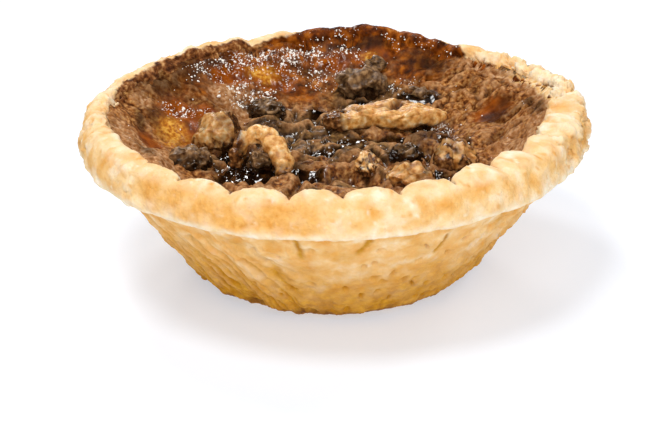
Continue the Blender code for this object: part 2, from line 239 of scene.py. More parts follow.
LAMPS = (
    ("front softbox", (0.15, -0.92, 0.50), 0.90, 6.0),
    ("key softbox", (-0.20, -0.22, 0.85), 0.30, 3.7),
    ("high back softbox", (-0.25, 0.45, 0.72), 0.20, 2.0),
    ("low back softbox", (-0.08, 0.80, 0.38), 0.18, 1.7),
    ("right softbox", (0.55, 0.35, 0.50), 0.16, 1.0),
)
for lamp_name, place, size, watts in LAMPS:
    softbox = add_softbox(lamp_name, place, size, watts)
    softbox.visible_glossy = lamp_name != "front softbox"

world = bpy.context.scene.world or bpy.data.worlds.new("world")
bpy.context.scene.world = world
world.use_nodes = True
surroundings = world.node_tree.nodes["Background"]
surroundings.inputs["Color"].default_value = paint("#eef3ff")
surroundings.inputs["Strength"].default_value = 0.30
world.cycles_visibility.glossy = False
bpy.context.scene.view_settings.view_transform = "Standard"

# %% [markdown]
# ## Noise
# Baking leaves nothing quite even, so relief on every scale comes from noise: random slopes on a grid,
# blended smoothly. Blender's own noise function works on one point at a time and shapes the solids, so it
# is used again for the same swells. The fine relief needs hundreds of thousands of points, and NumPy does
# the same sum for all of them at once.

# %% Noise over many points at once
seeded = np.random.default_rng(7)
SHUFFLED = seeded.permutation(256)
CHANCES = seeded.random(256)
SLOPES = seeded.normal(size=(256, 3))
SLOPES /= np.linalg.norm(SLOPES, axis=1)[:, None]


def ripple(points, size, seed=0):
    """Smooth noise, mostly from -0.6 to 0.6, with bumps of about the given size."""
    scaled = points / size + 11.37 * seed
    corner = np.floor(scaled).astype(np.int64)
    offset = scaled - corner
    blend = offset**3 * (offset * (offset * 6 - 15) + 10)
    total = np.zeros(len(points))
    for step in itertools.product((0, 1), repeat=3):
        cell = (corner + step) & 255
        index = SHUFFLED[(SHUFFLED[(SHUFFLED[cell[:, 0]] + cell[:, 1]) & 255] + cell[:, 2]) & 255]
        weight = np.prod(np.where(step, blend, 1 - blend), axis=1)
        total += weight * np.einsum("ij,ij->i", SLOPES[index], offset - step)
    return total


def creases(points, size, seed=0):
    """Noise with sharp valleys: 0 in a crease, and up to about 1 between creases."""
    return np.clip(np.abs(ripple(points, size, seed)) * 2.4, 0, 1)


def chance(column, row, seed):
    """A number from 0 to 1 for each square of a grid, the same in every run."""
    return CHANCES[(SHUFFLED[(SHUFFLED[column & 255] + row) & 255] + seed) & 255]


def pebbles(x, y, size, seed=0):
    """Distance from each place to the nearest of many scattered points, and a chance that belongs to it."""
    column, row = np.floor(x / size).astype(np.int64), np.floor(y / size).astype(np.int64)
    nearest, owner = np.full(len(x), 9.0), np.zeros(len(x))
    for step_x, step_y in itertools.product((-1, 0, 1), repeat=2):
        a, b = column + step_x, row + step_y
        away = np.hypot(x / size - a - chance(a, b, seed), y / size - b - chance(a, b, seed + 9))
        owner = np.where(away < nearest, chance(a, b, seed + 27), owner)
        nearest = np.minimum(nearest, away)
    return nearest * size, owner


def ease(value):
    """0 below 0, 1 above 1 and a smooth step between, for one number or for many."""
    value = np.clip(value, 0, 1)
    return value * value * (3 - 2 * value)


trial = seeded.random((1000, 3))
print("noise runs from", round(ripple(trial, 0.1).min(), 2), "to", round(ripple(trial, 0.1).max(), 2))

# %% [markdown]
# ## The form of the pastry case
# The case is shortcrust pressed into a flared tin. Its top edge was crimped into lobes, its rim stands out
# over the wall, and it thins to a small flat base. It could be sculpted, but a turned profile gives its
# exact sizes, and relief that goes round it adds the lobes, dents and chips. The numbers and functions are
# those of the solids, so the fine surface below is the same case at a higher resolution.

# %% Sizes of the case
RIM_RADIUS = 42.5 * MM
RIM_EDGE_HEIGHT = 23.4 * MM
CREST_RADIUS = 38.9 * MM
CREST_HEIGHT = 29.3 * MM
LIP_RADIUS = 37.3 * MM
LIP_HEIGHT = 27.4 * MM
FRONT_RISE = 0.6 * MM
WALL_TOP_RADIUS = 39.7 * MM
WALL_TOP_HEIGHT = 22.2 * MM
WALL_SPREAD = 0.75
BASE_RADIUS = 18.5 * MM
BASE_CORNER_HEIGHT = 3.0 * MM
CASE_WALL = 4.0 * MM
CASE_FLOOR = 3.8 * MM
SHOULDER_RADIUS = 34.4 * MM
SHOULDER_HEIGHT = 22.0 * MM
RIM_EDGE_ROUNDING = 0.5 * MM
GAP = 0.3 * MM

LOBE_COUNT = 27
LOBE_ANGLE = 2 * math.pi / LOBE_COUNT
FIRST_NOTCH = math.radians(-88.0)
NOTCH_DEPTH = 2.0 * MM
NOTCH_INSET = 1.1 * MM
LOBE_ROUNDNESS = 0.6
LOBE_DEPTH = (0.85, 0.35)
LOBE_SWING = math.radians(1.3)
CRIMP_REACH = 5.2 * MM
print("the case is", round(2 * RIM_RADIUS / MM, 1), "mm across and", round(CREST_HEIGHT / MM, 1), "mm high")

# %% Relief of the case: depths, where each kind fades in, and the noise it is read from
RIM_WANDER = 0.5 * MM
CRUMB_RELIEF = 0.45 * MM
CRUMB_SIZE = 5.0 * MM
CRUMB_BAND = 21 * MM
WALL_RIDGE = 0.5 * MM
WALL_RIDGE_LENGTH = 30 * MM
BASE_CHIP = 1.4 * MM

RIM_FADE = (22.3 * MM, 2 * MM)
CREST_FADE = (24.5 * MM, 3 * MM)
WALL_TOP_FADE = (19 * MM, 3 * MM)
WALL_FOOT_FADE = (0, 3 * MM)
CRUMB_FOOT_FADE = (0.2 * MM, 2 * MM)
CHIP_FADE = (0.1 * MM, 3 * MM)
CRUMB_BAND_FADE = 3 * MM

LOBE_DEPTH_NOISE = (7.3, 3.0)
RIM_NOISE = (2.1, 1.7)
CREST_NOISE = (4.6, 2.2)
RIDGE_NOISE = (9.0, 9.0)
CHIP_NOISE = (12.4, 3.2)
SWING_NOISE = (15.2, 3.0)
CRUMB_OCTAVES = (0.8, 2.1, 3)
RIM_DENTS = ((133, 27, 2.0), (60, 17, 1.2))  # angle and half width in degrees, then depth in mm
DENT_FADE = (14 * MM, 9 * MM)
print("the deepest dent of the rim is", max(depth for _, _, depth in RIM_DENTS), "mm")


# %% The same relief as the solids have
def smooth_step(value):
    """0 below 0, 1 above 1 and a smooth step between, for one number."""
    value = min(1.0, max(0.0, value))
    return value * value * (3 - 2 * value)


def fade_in(value, fade):
    """0 up to where the fade starts, and 1 from the end of its length."""
    start, length = fade
    return smooth_step((value - start) / length)


def wall_radius(height):
    """How far the plain outer wall stands from the axis at a height."""
    return WALL_TOP_RADIUS - WALL_SPREAD * (WALL_TOP_HEIGHT - height)


def inner_foot_radius():
    """Where the inside of the wall meets the case's floor."""
    return wall_radius(CASE_FLOOR) - CASE_WALL * math.hypot(1, WALL_SPREAD)


def round_the_rim(angle, source, rise=0.0):
    """Smooth noise that goes round the tart and meets itself."""
    row, detail = source
    return noise.noise(Vector((detail * math.cos(angle), detail * math.sin(angle), row + rise)))


def notch_amount(angle):
    """0 on top of a lobe, and 1 in the notch between two lobes."""
    share = ((angle - FIRST_NOTCH) / LOBE_ANGLE) % 1.0
    return 1 - math.sin(math.pi * share) ** LOBE_ROUNDNESS


def lobe_depth(angle):
    """How deep the notches are in a direction, as a share of the usual depth."""
    mean, variation = LOBE_DEPTH
    return mean + variation * round_the_rim(angle, LOBE_DEPTH_NOISE)


print("the plain wall starts", round(wall_radius(0) / MM, 1), "mm from the axis at its foot")


# %% The case's relief, and its broad dents
def case_relief(point):
    """Where baking and crimping move a point of the plain turned case."""
    radius = math.hypot(point.x, point.y)
    under_filling = radius < LIP_RADIUS and radius < wall_radius(point.z) - CASE_WALL / 2
    if under_filling and point.z > GAP:
        return point.copy()
    angle = math.atan2(point.y, point.x)
    height = point.z
    on_rim = fade_in(height, RIM_FADE)
    near_crest = fade_in(height, CREST_FADE) * (1 - fade_in(radius, (LIP_RADIUS, CRIMP_REACH)))
    notch = near_crest * notch_amount(angle) * lobe_depth(angle)
    radius += NOTCH_INSET * notch
    height -= NOTCH_DEPTH * notch
    radius += on_rim * RIM_WANDER * round_the_rim(angle, RIM_NOISE)
    height += near_crest * (RIM_WANDER * round_the_rim(angle, CREST_NOISE) - FRONT_RISE * math.sin(angle))
    crumb = noise.fractal(point / CRUMB_SIZE, *CRUMB_OCTAVES)
    crumb *= fade_in(point.z, CRUMB_FOOT_FADE) * fade_in(radius, (LIP_RADIUS - CRUMB_BAND, CRUMB_BAND_FADE))
    radius += CRUMB_RELIEF * crumb
    on_wall = fade_in(point.z, WALL_FOOT_FADE) * (1 - fade_in(point.z, WALL_TOP_FADE))
    radius -= WALL_RIDGE * on_wall * abs(round_the_rim(angle, RIDGE_NOISE, height / WALL_RIDGE_LENGTH))
    at_foot = 1 - fade_in(point.z, CHIP_FADE)
    radius -= BASE_CHIP * at_foot * max(0.0, round_the_rim(angle, CHIP_NOISE))
    angle += LOBE_SWING * on_rim * round_the_rim(angle, SWING_NOISE)
    return Vector((radius * math.cos(angle), radius * math.sin(angle), height))


def dented(point):
    """Where the broad dents of the rim move a point of the case or of the filling."""
    angle = math.degrees(math.atan2(point.y, point.x))
    depth = 0.0
    for middle, half_width, dent in RIM_DENTS:
        depth += dent * MM * math.exp(-((math.remainder(angle - middle, 360) / half_width) ** 2))
    share = depth * fade_in(point.z, DENT_FADE) / RIM_RADIUS
    return Vector((point.x * (1 - share), point.y * (1 - share), point.z))


print("a lobe is", round(LOBE_ANGLE * RIM_RADIUS / MM, 1), "mm wide at the rim")


# %% [markdown]
# ## The case's profile
# The profile starts in the middle of the hollow, climbs its wall, goes over the lip and the rim's rounded
# face, under the rim's edge, down the outer wall and in under the base. A turned shape needs close points
# only where detail will show, so the hidden inside keeps a few and the outside gets one every quarter of a
# millimetre.

# %% Profile with close points where the pastry shows
FINE_STEP = 0.25 * MM
LIP_STEP = 0.5 * MM
BASE_STEP = 1.5 * MM
INSIDE_STEP = 3 * MM
ARC_DEGREES = 5
CORNER_POINTS = 9


def arc(centre, half_sizes, start, end):
    """Points on an ellipse in the profile's plane, from one angle to another, in degrees."""
    count = round(abs(end - start) / ARC_DEGREES)
    angles = np.radians(np.linspace(start, end, count + 1))
    on_circle = np.column_stack([np.cos(angles), np.sin(angles)])
    return [tuple(point) for point in on_circle * half_sizes + centre]


def rounded_corner(start, turn, end):
    """Points on a curve from one point to another that is drawn towards the corner between them."""
    start, turn, end = np.array(start), np.array(turn), np.array(end)
    shares = np.linspace(0, 1, CORNER_POINTS)
    return [tuple((1 - t) ** 2 * start + 2 * t * (1 - t) * turn + t**2 * end) for t in shares]


def spaced(points, step):
    """Points one step apart along the line through the given ones."""
    points = np.array(points)
    along = np.concatenate([[0], np.cumsum(np.linalg.norm(np.diff(points, axis=0), axis=1))])
    places = np.linspace(0, along[-1], round(along[-1] / step) + 1)
    return np.column_stack([np.interp(places, along, points[:, axis]) for axis in (0, 1)])


lip_half = (CREST_RADIUS - LIP_RADIUS, CREST_HEIGHT - LIP_HEIGHT)
face_half = (RIM_RADIUS - CREST_RADIUS, CREST_HEIGHT - RIM_EDGE_HEIGHT)
foot_top = (wall_radius(BASE_CORNER_HEIGHT), BASE_CORNER_HEIGHT)
outside = arc((CREST_RADIUS, LIP_HEIGHT), lip_half, 180, 90)
outside += arc((CREST_RADIUS, RIM_EDGE_HEIGHT), face_half, 90, 0)[1:]
outside.append((RIM_RADIUS - RIM_EDGE_ROUNDING, WALL_TOP_HEIGHT + RIM_EDGE_ROUNDING))
outside.append((WALL_TOP_RADIUS, WALL_TOP_HEIGHT))
outside += rounded_corner(foot_top, (wall_radius(0), 0), (BASE_RADIUS, 0))
inside = [(0.0, CASE_FLOOR), (inner_foot_radius(), CASE_FLOOR), (SHOULDER_RADIUS, SHOULDER_HEIGHT)]
inside_rows = spaced(inside, INSIDE_STEP)
lip_rows = spaced([inside[-1], outside[0]], LIP_STEP)[1:-1]
outside_rows = spaced(outside, FINE_STEP)
base_rows = spaced([(BASE_RADIUS, 0.0), (0.0, 0.0)], BASE_STEP)[1:]
profile = np.vstack([inside_rows, lip_rows, outside_rows, base_rows])
print("the profile has", len(profile), "points,", len(outside_rows), "of them on the outside")

# %% Turning the profile, and the relief that the solids have
STEPS_PER_LOBE = 34
CASE_STEPS = LOBE_COUNT * STEPS_PER_LOBE
turns = np.arange(CASE_STEPS) * 2 * math.pi / CASE_STEPS


def turned_points(rows):
    """Every point of the turned profile, one ring after the other."""
    radius = np.repeat(rows[:, 0], CASE_STEPS)
    height = np.repeat(rows[:, 1], CASE_STEPS)
    angle = np.tile(turns, len(rows))
    return np.column_stack([radius * np.cos(angle), radius * np.sin(angle), height])


plain_case = turned_points(profile[1:-1])  # the first and last rows are single points on the axis
case_points = np.array([dented(case_relief(Vector(point))) for point in plain_case])
print("the case has", len(case_points), "points")


# %% [markdown]
# ## Fine relief of the baked pastry
# Close up, the rim is soft and dimpled where the dough was pressed, with a few crumbs missing. A normal map
# would only fake this, and the outline against the white floor would stay too smooth, so these are real
# moves of the surface, square to it. A mask says for each point whether it is on the rim's face or on the
# wall, and patterns are laid on the case as on an unrolled sheet, so that they keep their size all round.

# %% Directions and masks on the case
LIP_OVERLAP = 4  # rings inside the lip that still count as outside, because the film may leave them bare

tangent = np.gradient(profile, axis=0)
tangent /= np.linalg.norm(tangent, axis=1)[:, None]
row_normal = np.column_stack([-tangent[:, 1], tangent[:, 0]])[1:-1]
ring_angle = np.tile(turns, len(row_normal))
push_out, push_up = (np.repeat(row_normal[:, axis], CASE_STEPS) for axis in (0, 1))
push = np.column_stack([push_out * np.cos(ring_angle), push_out * np.sin(ring_angle), push_up])
plain_radius = np.hypot(plain_case[:, 0], plain_case[:, 1])
plain_height = plain_case[:, 2]
first_shown = len(inside_rows) + len(lip_rows) - 1
row_number = np.repeat(np.arange(len(row_normal)), CASE_STEPS)
is_outside = (row_number >= first_shown - LIP_OVERLAP) & (row_number < first_shown + len(outside_rows))


def above(level, softness):
    """1 for the plain case's points above a level and 0 for those below it, with a soft step. In mm."""
    return ease((plain_height - level * MM) / (softness * MM))


def below(level, softness):
    """1 for the plain case's points below a level and 0 for those above it, with a soft step. In mm."""
    return ease((level * MM - plain_height) / (softness * MM))


on_face = is_outside * above(22.0, 0.8)
on_wall = is_outside * below(22.6, 1.5) * above(0.1, 0.8)
print("share of the points on the rim's face:", round(float(on_face.mean()), 2))


# %% Directions round the tart
def degrees_apart(degrees, middle):
    """How far directions round the tart lie from a given one. The front is -90 and the back 90."""
    return np.abs((degrees - middle + 180) % 360 - 180)


def sector(degrees, middle, half_width, softness):
    """1 near a direction and 0 beyond a half width from it, with a soft step. All in degrees."""
    return ease((half_width - degrees_apart(degrees, middle)) / softness)


WALL_MIDDLE = 34 * MM  # the wall's usual distance from the axis
DEGREES = (np.degrees(ring_angle) + 270) % 360 - 270  # the count starts and ends at the back
girth = np.radians(DEGREES) * WALL_MIDDLE  # distance round the wall, for patterns that run with it
row_length = np.concatenate([[0], np.cumsum(np.linalg.norm(np.diff(profile, axis=0), axis=1))])[1:-1]
along = np.repeat(row_length, CASE_STEPS)  # distance along the profile


def unrolled(sideways, upwards):
    """Places for a pattern on the wall as on a sheet that is joined up again at the back."""
    turn = sideways / WALL_MIDDLE
    return np.column_stack([WALL_MIDDLE * np.cos(turn), WALL_MIDDLE * np.sin(turn), upwards])


print("the wall is about", round(2 * math.pi * WALL_MIDDLE / MM), "mm round")

# %% Dimples and crags on the rim's face
CRAG_PLACES = ((8, 46, 1.0), (162, 46, 0.5), (-142, 16, 0.3))  # middle, half width in degrees, and strength
PLAIN_CRAG = 0.12  # the strength of the crags everywhere else

broad = ripple(case_points, 6.0 * MM, 5)
soft = ripple(case_points, 2.6 * MM, 6)
grain = ripple(case_points, 1.1 * MM, 7)
crumbs = ripple(case_points, 0.55 * MM, 8)
crag = np.full(len(case_points), PLAIN_CRAG)
for middle, half_width, amount in CRAG_PLACES:
    crag = np.maximum(crag, amount * sector(DEGREES, middle, half_width, 16))
crag_edge, crag_step = pebbles(girth * 1.2 + 1.5 * MM * soft, along + 1.5 * MM * grain, 2.3 * MM, 6)
_, fine_step = pebbles(girth * 1.2, along + 0.6 * MM * soft, 0.9 * MM, 16)
face_lift = 0.26 * broad + 0.20 * soft + 0.15 * grain + 0.12 * crumbs - 0.12
face_lift += crag * (1.15 * (crag_step - 0.5) + 0.45 * (fine_step - 0.5) - 0.35 * ease(crag_edge / MM - 0.9))
print("share of the points with strong crags:", round(float((crag > 0.5).mean()), 2))

# %% [markdown]
# ## The wall's streaks, flakes, pits and cracks
# The wall was pressed against the tin and pulled up. It has shallow streaks that run with it, deep and
# slanted at the left, thin flakes at the right, pits where air was caught, and three short cracks in front.
# They could be carved by hand. Here each is a pattern or a line on the unrolled wall, with a real size.

# %% Streaks, flakes, pits and cracks
WALL_CRACKS = (  # where each starts in degrees, its upper and lower end and its drift to the side in mm
    (-99.5, 21.6, 16.0, 0.5),
    (-81.5, 21.4, 17.0, -2.2),
    (-62.0, 20.0, 15.0, -1.0),
)
CRACK_WIDTH = 0.45 * MM

left_share = sector(DEGREES, -133, 44, 20)  # the part of the wall with deep slanted streaks
right_share = sector(DEGREES, -18, 40, 16)  # the part with flakes
lean = girth + 0.55 * plain_height * left_share + 0.5 * MM * soft
streaks = 0.55 * creases(unrolled(lean, 0.12 * plain_height), 2.5 * MM, 3)
streaks += 0.45 * creases(unrolled(lean, 0.18 * plain_height), 1.2 * MM, 4)
layers = creases(unrolled(girth, plain_height + 0.4 * MM * soft) * (0.22, 0.22, 1), 1.1 * MM, 24)
_, flake_step = pebbles(girth * 1.1 + 0.8 * MM * soft, plain_height * 0.75 + 0.5 * MM * grain, 1.5 * MM, 36)
pit_place, pit_chance = pebbles(girth + 2 * MM * soft, plain_height + 1.5 * MM * broad, 2.9 * MM, 5)
pit_width = (0.25 + 0.55 * pit_chance) * MM
wall_pits = np.where(pit_chance > 0.72 - 0.2 * right_share, ease(1.2 - pit_place / pit_width), 0)
cracks = np.zeros(len(case_points))
for start_angle, high, low, drift in WALL_CRACKS:
    down = np.clip((high * MM - plain_height) / ((high - low) * MM), 0, 1)
    line = math.radians(start_angle) * WALL_MIDDLE + drift * MM * down + 0.35 * MM * grain
    groove = np.exp(-(((girth - line) / CRACK_WIDTH) ** 2))
    cracks = np.maximum(cracks, below(high, 1) * above(low, 1) * groove)
print("share of the wall in pits:", round(float((wall_pits * on_wall > 0.5).mean()), 3))

# %% The wall's lift, its bitten sides and its chipped foot
wall_lift = 0.26 * broad + 0.10 * soft + 0.14 * grain + 0.15 * crumbs - 0.22 * cracks - 0.6 * wall_pits
wall_lift -= (0.16 + 0.85 * left_share) * (1 - streaks) + 0.22 * right_share * (1 - layers)
wall_lift += (0.10 + 0.35 * right_share) * (flake_step - 0.5) + 0.40 * left_share
at_sides = np.maximum(sector(DEGREES, -6, 34, 14), 0.5 * sector(DEGREES, 186, 30, 14))
wall_lift -= 1.1 * at_sides * ease(ripple(case_points, 3.6 * MM, 53) * 3.2 - 0.35) * below(19, 4)
ledge = np.exp(-(((plain_height - 23.2 * MM) / (0.9 * MM)) ** 2)) * (plain_radius > 41 * MM)
foot = below(4.5, 4) * on_wall
foot_chips = ease(ripple(case_points * (1, 1, 0.4), 4.2 * MM, 9) * 4.0 - 0.3)
lift = on_face * face_lift * (1 - 0.5 * ledge) + on_wall * wall_lift - foot * foot_chips * 1.1
print("fine relief of the case from", round(lift.min(), 2), "to", round(lift.max(), 2), "mm")

# %% [markdown]
# ## The crimps as baking left them
# The crimps aren't alike all round. In front the lobes are full and the notches between them narrow and
# deep, at the sides the crust crumbled and wore them down, the crest sank at the back, and in front the rim
# leans in over the filling. Every lobe could be shaped by hand. Here a few sectors in degrees say how much
# of each there is, so that the filling's edge can follow the same rules further on.

# %% Sectors where the crimps differ
WORN_SIDES = ((176, 64, 0.9), (14, 46, 0.55))  # middle, half width in degrees, and how far they are worn
WORN_REACH = 14  # points of a ring to each side that an average takes in, which is nearly half a lobe
FRONT_CRIMPS = 0.55  # how much more the lobes stand out in front
NOTCH_NARROWING = 0.5
SUNK_CREST = ((103, 22, 0.9), (46, 32, 1.2))  # middle, half width in degrees, and depth in mm
THICK_RIM = ((-30, 38, 2.5), (-152, 26, 1.3), (-88, 34, 1.2))  # the same, and how far the rim leans in


def worn(degrees):
    """How far the crimps are worn down in each direction, where the crust crumbled."""
    sides = [amount * sector(degrees, middle, half, 18) for middle, half, amount in WORN_SIDES]
    return np.max(sides, axis=0)


def sunk(degrees):
    """How much lower than the solid's the crest lies, in metres."""
    return sum(depth * MM * sector(degrees, middle, half, 14) for middle, half, depth in SUNK_CREST)


def extra_notch(notch, degrees):
    """How much more of a notch there is than on the solid."""
    narrow = 1 - (1 - notch) ** NOTCH_NARROWING
    in_front = sector(degrees, -88, 62, 22) * (1 - worn(degrees))
    return in_front * ((1 + FRONT_CRIMPS) * narrow - notch)


print("share of the rim with worn crimps:", round(float((worn(DEGREES) > 0.4).mean()), 2))

# %% Crimps worn, deepened and leaning in
rings = case_points.reshape(-1, CASE_STEPS, 3)
neighbours = range(-WORN_REACH, WORN_REACH + 1)
softened = sum(np.roll(rings, step, axis=1) for step in neighbours) / len(neighbours)
wear = worn(DEGREES) * above(24, 2)
case_points += wear[:, None] * (softened.reshape(-1, 3) - case_points)
in_notch = np.tile([notch_amount(angle) for angle in turns], len(row_normal))
depth_here = np.tile([lobe_depth(angle) for angle in turns], len(row_normal))
near_crest = ease((plain_height - CREST_FADE[0]) / CREST_FADE[1])
near_crest *= 1 - ease((plain_radius - LIP_RADIUS) / CRIMP_REACH)
deeper = extra_notch(in_notch, DEGREES) * depth_here * near_crest * is_outside
case_points[:, :2] *= 1 + (NOTCH_INSET * deeper / plain_radius)[:, None]
case_points[:, 2] -= NOTCH_DEPTH * deeper
thick = sum(amount * MM * sector(DEGREES, middle, half, 16) for middle, half, amount in THICK_RIM)
thick *= is_outside * ease((41 * MM - plain_radius) / (3 * MM)) * above(25, 2)
case_points[:, :2] *= 1 - (thick / plain_radius)[:, None]
case_points[:, 2] -= 0.5 * thick * below(28.8, 1) * (plain_radius < CREST_RADIUS)
print("the rim leans in by up to", round(float(thick.max() / MM), 1), "mm")

# %% The fine relief, the ragged back and the hidden wall under the film
case_points += push * (lift * MM)[:, None]
behind = sector(DEGREES, 90, 55, 20) * above(25, 3) * is_outside
case_points[:, 2] += 0.9 * MM * behind * ripple(unrolled(girth, 0 * girth), 3.2 * MM, 51)
case_points[:, 2] -= sunk(DEGREES) * above(24, 3) * is_outside
case_points[:, 2] = np.maximum(case_points[:, 2], 0)
shoulder_row = len(inside_rows) - 2
for row in range(shoulder_row + 1, first_shown):
    share = (row - shoulder_row) / (first_shown - shoulder_row)
    rings[row] = (1 - share) * rings[shoulder_row] + share * rings[first_shown]
print("the crest is at most", round(float(case_points[:, 2].max() / MM), 1), "mm high")

# %% [markdown]
# ## Where the syrup ran over the pastry
# The boiling filling stained the inside of the rim, filled a few notches at the front, ran over the crest
# at the back and left browned skin on it at the back left. These could be painted by hand. The case keeps
# them as numbers stored on its points instead: how much syrup is there, how dark the crust baked, where it
# stayed pale, and where shade and highlights are painted into the colour. The material reads them by name.

# %% Syrup and browned skin on the crust
back = sector(DEGREES, 77, 27, 8)
near_front = sector(DEGREES, -90, 62, 16)
edge_noise = 1.2 * ripple(case_points, 2.2 * MM, 14) + 0.7 * ripple(case_points, 0.8 * MM, 15)
reach = 37.35 + 3.1 * back + 0.9 * sector(DEGREES, 108, 24, 8)  # how far out the syrup got, in mm
reach += 1.9 * near_front * ease(in_notch * 2.8 - 1.5) + 0.6 * edge_noise
syrup = is_outside * ease((reach * MM - plain_radius) / (0.5 * MM)) * (plain_height > 25 * MM)
under_lip = (row_number < first_shown).astype(float)
syrup = np.maximum(syrup * (1 - 0.3 * near_front), under_lip)
skin_side = sector(DEGREES, 138, 34, 10)
crept_radius = (36.6 + 2.3 * skin_side + 0.9 * edge_noise) * MM
crept = is_outside * ease(3 * skin_side) * ease((crept_radius - plain_radius) / (0.4 * MM))
crept *= plain_height > 25 * MM
print("share of the case under browned skin:", round(float(crept.mean()), 3))

# %% Toast and painted shade, freckles, burnt edge, pale dough and painted highlights
# Darker towards the bottom of the wall, toasted patches, and painted shade in pits, cracks and streak grooves
toast_and_shade = below(18.0, 18) * 0.95
toast_and_shade += 0.26 * ease(ripple(case_points, 4.6 * MM, 21) * 2.2 - 0.05) * on_wall
toast_and_shade += 0.8 * foot * below(2.0, 1.8) + 0.35 * wall_pits * on_wall
toast_and_shade += cracks + 0.65 * left_share * ease(0.75 - 1.3 * streaks) * on_wall * below(21, 6)
freckle_and_shade = 0.6 * ease(ripple(case_points, 3.4 * MM, 22) * 2.6 - 0.35) + 0.8 * ease(grain * 3.4 - 0.75)
tan_front = ease((29.2 * MM - plain_height) / (2 * MM) + 0.5 * soft)
freckle_and_shade += 0.55 * sector(DEGREES, -112, 26, 14) * tan_front
# Painted shade: the lower steps of the crags are darker
freckle_and_shade += 0.5 * crag * ease(1.1 - 2.2 * crag_step)
freckle_and_shade *= on_face * (1 - ledge)
freckle_and_shade += 0.2 * on_wall * below(21, 8)
# A burnt foot, and painted shade in the cracks and the low streak grooves
burnt_and_shade = ease((2.8 * MM - plain_height) / (2.0 * MM) + 0.9 * soft) * on_wall + 0.15 * cracks
burnt_and_shade += 0.30 * on_wall * ease(0.55 - streaks) * below(9, 8)
# Pale dough, and painted highlights on the crest's top, the raised crag steps and the ledge
flour_and_highlight = 0.9 * ease(ripple(case_points, 1.3 * MM, 26) * 3.8 - 1.05)
flour_and_highlight += 0.65 * ease(ripple(case_points, 3.4 * MM, 23) * 2.4 + 0.05)
flour_and_highlight += 0.35 * above(27.6, 1.4) + 0.45 * crag * ease(crag_step * 2 - 0.9)
pale_and_highlit = 0.9 * ledge + flour_and_highlight * on_face
pale_and_highlit += 0.34 * ease(ripple(case_points, 2.2 * MM, 25) * 3 - 0.5) * on_wall * (1 - ease(toast_and_shade))
looks_of_crust = {"toast_and_shade": toast_and_shade, "freckle_and_shade": freckle_and_shade, "burnt_and_shade": burnt_and_shade, "pale_and_highlit": pale_and_highlit}
print({name: round(float(mask.mean()), 2) for name, mask in looks_of_crust.items()})


# %% Faces, and an object of the tart
def ring_faces(ring_count, steps):
    """Four-sided faces between rings of points that follow each other."""
    ring, step = np.meshgrid(np.arange(ring_count - 1), np.arange(steps), indexing="ij")
    ring, step = ring.ravel() * steps, step.ravel()
    after = (step + 1) % steps
    return np.column_stack([ring + step, ring + steps + step, ring + steps + after, ring + after]).tolist()


def make_piece(name, points, faces, stored, slot, nodes):
    """An object of the tart from points in metres: it rides on the body and stands for its solids."""
    mesh = bpy.data.meshes.new(name)
    mesh.from_pydata(np.asarray(points).tolist(), [], faces)
    for attribute, values in stored.items():
        layer = mesh.attributes.new(attribute, "FLOAT", "POINT")
        layer.data.foreach_set("value", np.clip(values, 0, 1).astype(np.float32))
    mesh.shade_smooth()
    piece = bpy.data.objects.new(name, mesh)
    bpy.context.scene.collection.objects.link(piece)
    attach(piece, "root")
    if nodes:
        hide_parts(*nodes)
    return piece


print("two rings of 8 points hold", len(ring_faces(2, 8)), "faces between them")

# %% [markdown]
# ## Setting the tart on the frame
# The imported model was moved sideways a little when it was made, so that its box is centred on the axis. The
# pieces below are built about the tin's own axis, so they need the same small move. Comparing the middle of
# each packed nut and raisin with the middle of the same piece built here gives it exactly.

# %% Rounded pieces: where they lie and how they are turned
ROUNDED_PIECES = {
    "walnut_left": ((-19.5, 5.2, 21.4), (4.2, 3.7, 4.3), (0, -8, 20), 0.14, 1.1),
    "walnut_front": ((5.3, -8.6, 21.2), (1.9, 4.3, 2.0), (-9, 0, 4), 0.16, 1.6),
    "walnut_front_right": ((12.4, -13.4, 21.0), (3.7, 2.6, 2.3), (0, 6, 12), 0.14, 1.2),
    "walnut_right": ((19.9, -6.0, 21.0), (3.5, 3.3, 3.0), (0, 10, -20), 0.14, 1.2),
    "raisin_left": ((-24.2, -4.4, 20.9), (3.7, 2.6, 2.3), (0, -8, -12), 0.18, 1.9),
    "raisin_under_arch": ((-12.3, -5.2, 20.7), (2.1, 1.7, 1.8), (0, 0, 15), 0.16, 2.0),
    "raisin_back": ((5.2, 25.2, 22.3), (4.3, 3.0, 3.1), (0, 4, 6), 0.14, 1.5),
    "raisin_back_top": ((7.9, 29.5, 24.6), (1.9, 1.3, 1.2), (10, 5, 10), 0.12, 2.0),
    "raisin_right": ((12.0, -3.4, 20.5), (2.7, 2.0, 1.8), (0, 0, -10), 0.20, 2.2),
    "raisin_centre": ((-11.6, 18.6, 20.6), (3.2, 2.4, 1.9), (0, 0, -18), 0.18, 2.0),
    "raisin_back_right": ((15.2, 23.4, 21.2), (3.1, 1.4, 1.2), (0, -4, -14), 0.16, 2.0),
}
FOLD_DEPTH = 3


def unit_ball(level):
    """Points and triangles of a ball of radius 1, evenly spread."""
    ball = bmesh.new()
    bmesh.ops.create_icosphere(ball, subdivisions=level, radius=1.0)
    points = np.array([vertex.co for vertex in ball.verts])
    faces = [[vertex.index for vertex in face.verts] for face in ball.faces]
    ball.free()
    return points, faces


def rounded_form(name, ball):
    """The piece's points about its centre, in mm: a ball with rounded wrinkles, drawn out and turned."""
    centre, half_sizes, turn, wrinkle, frequency = ROUNDED_PIECES[name]
    seed = Vector(centre)
    fold = np.array([abs(noise.noise(Vector(point) * frequency + seed)) for point in ball])
    grown = ball * (1 + wrinkle * (1 - FOLD_DEPTH * fold))[:, None] * half_sizes
    rotation = np.array(Euler([math.radians(a) for a in turn]).to_matrix())
    return grown @ rotation.T


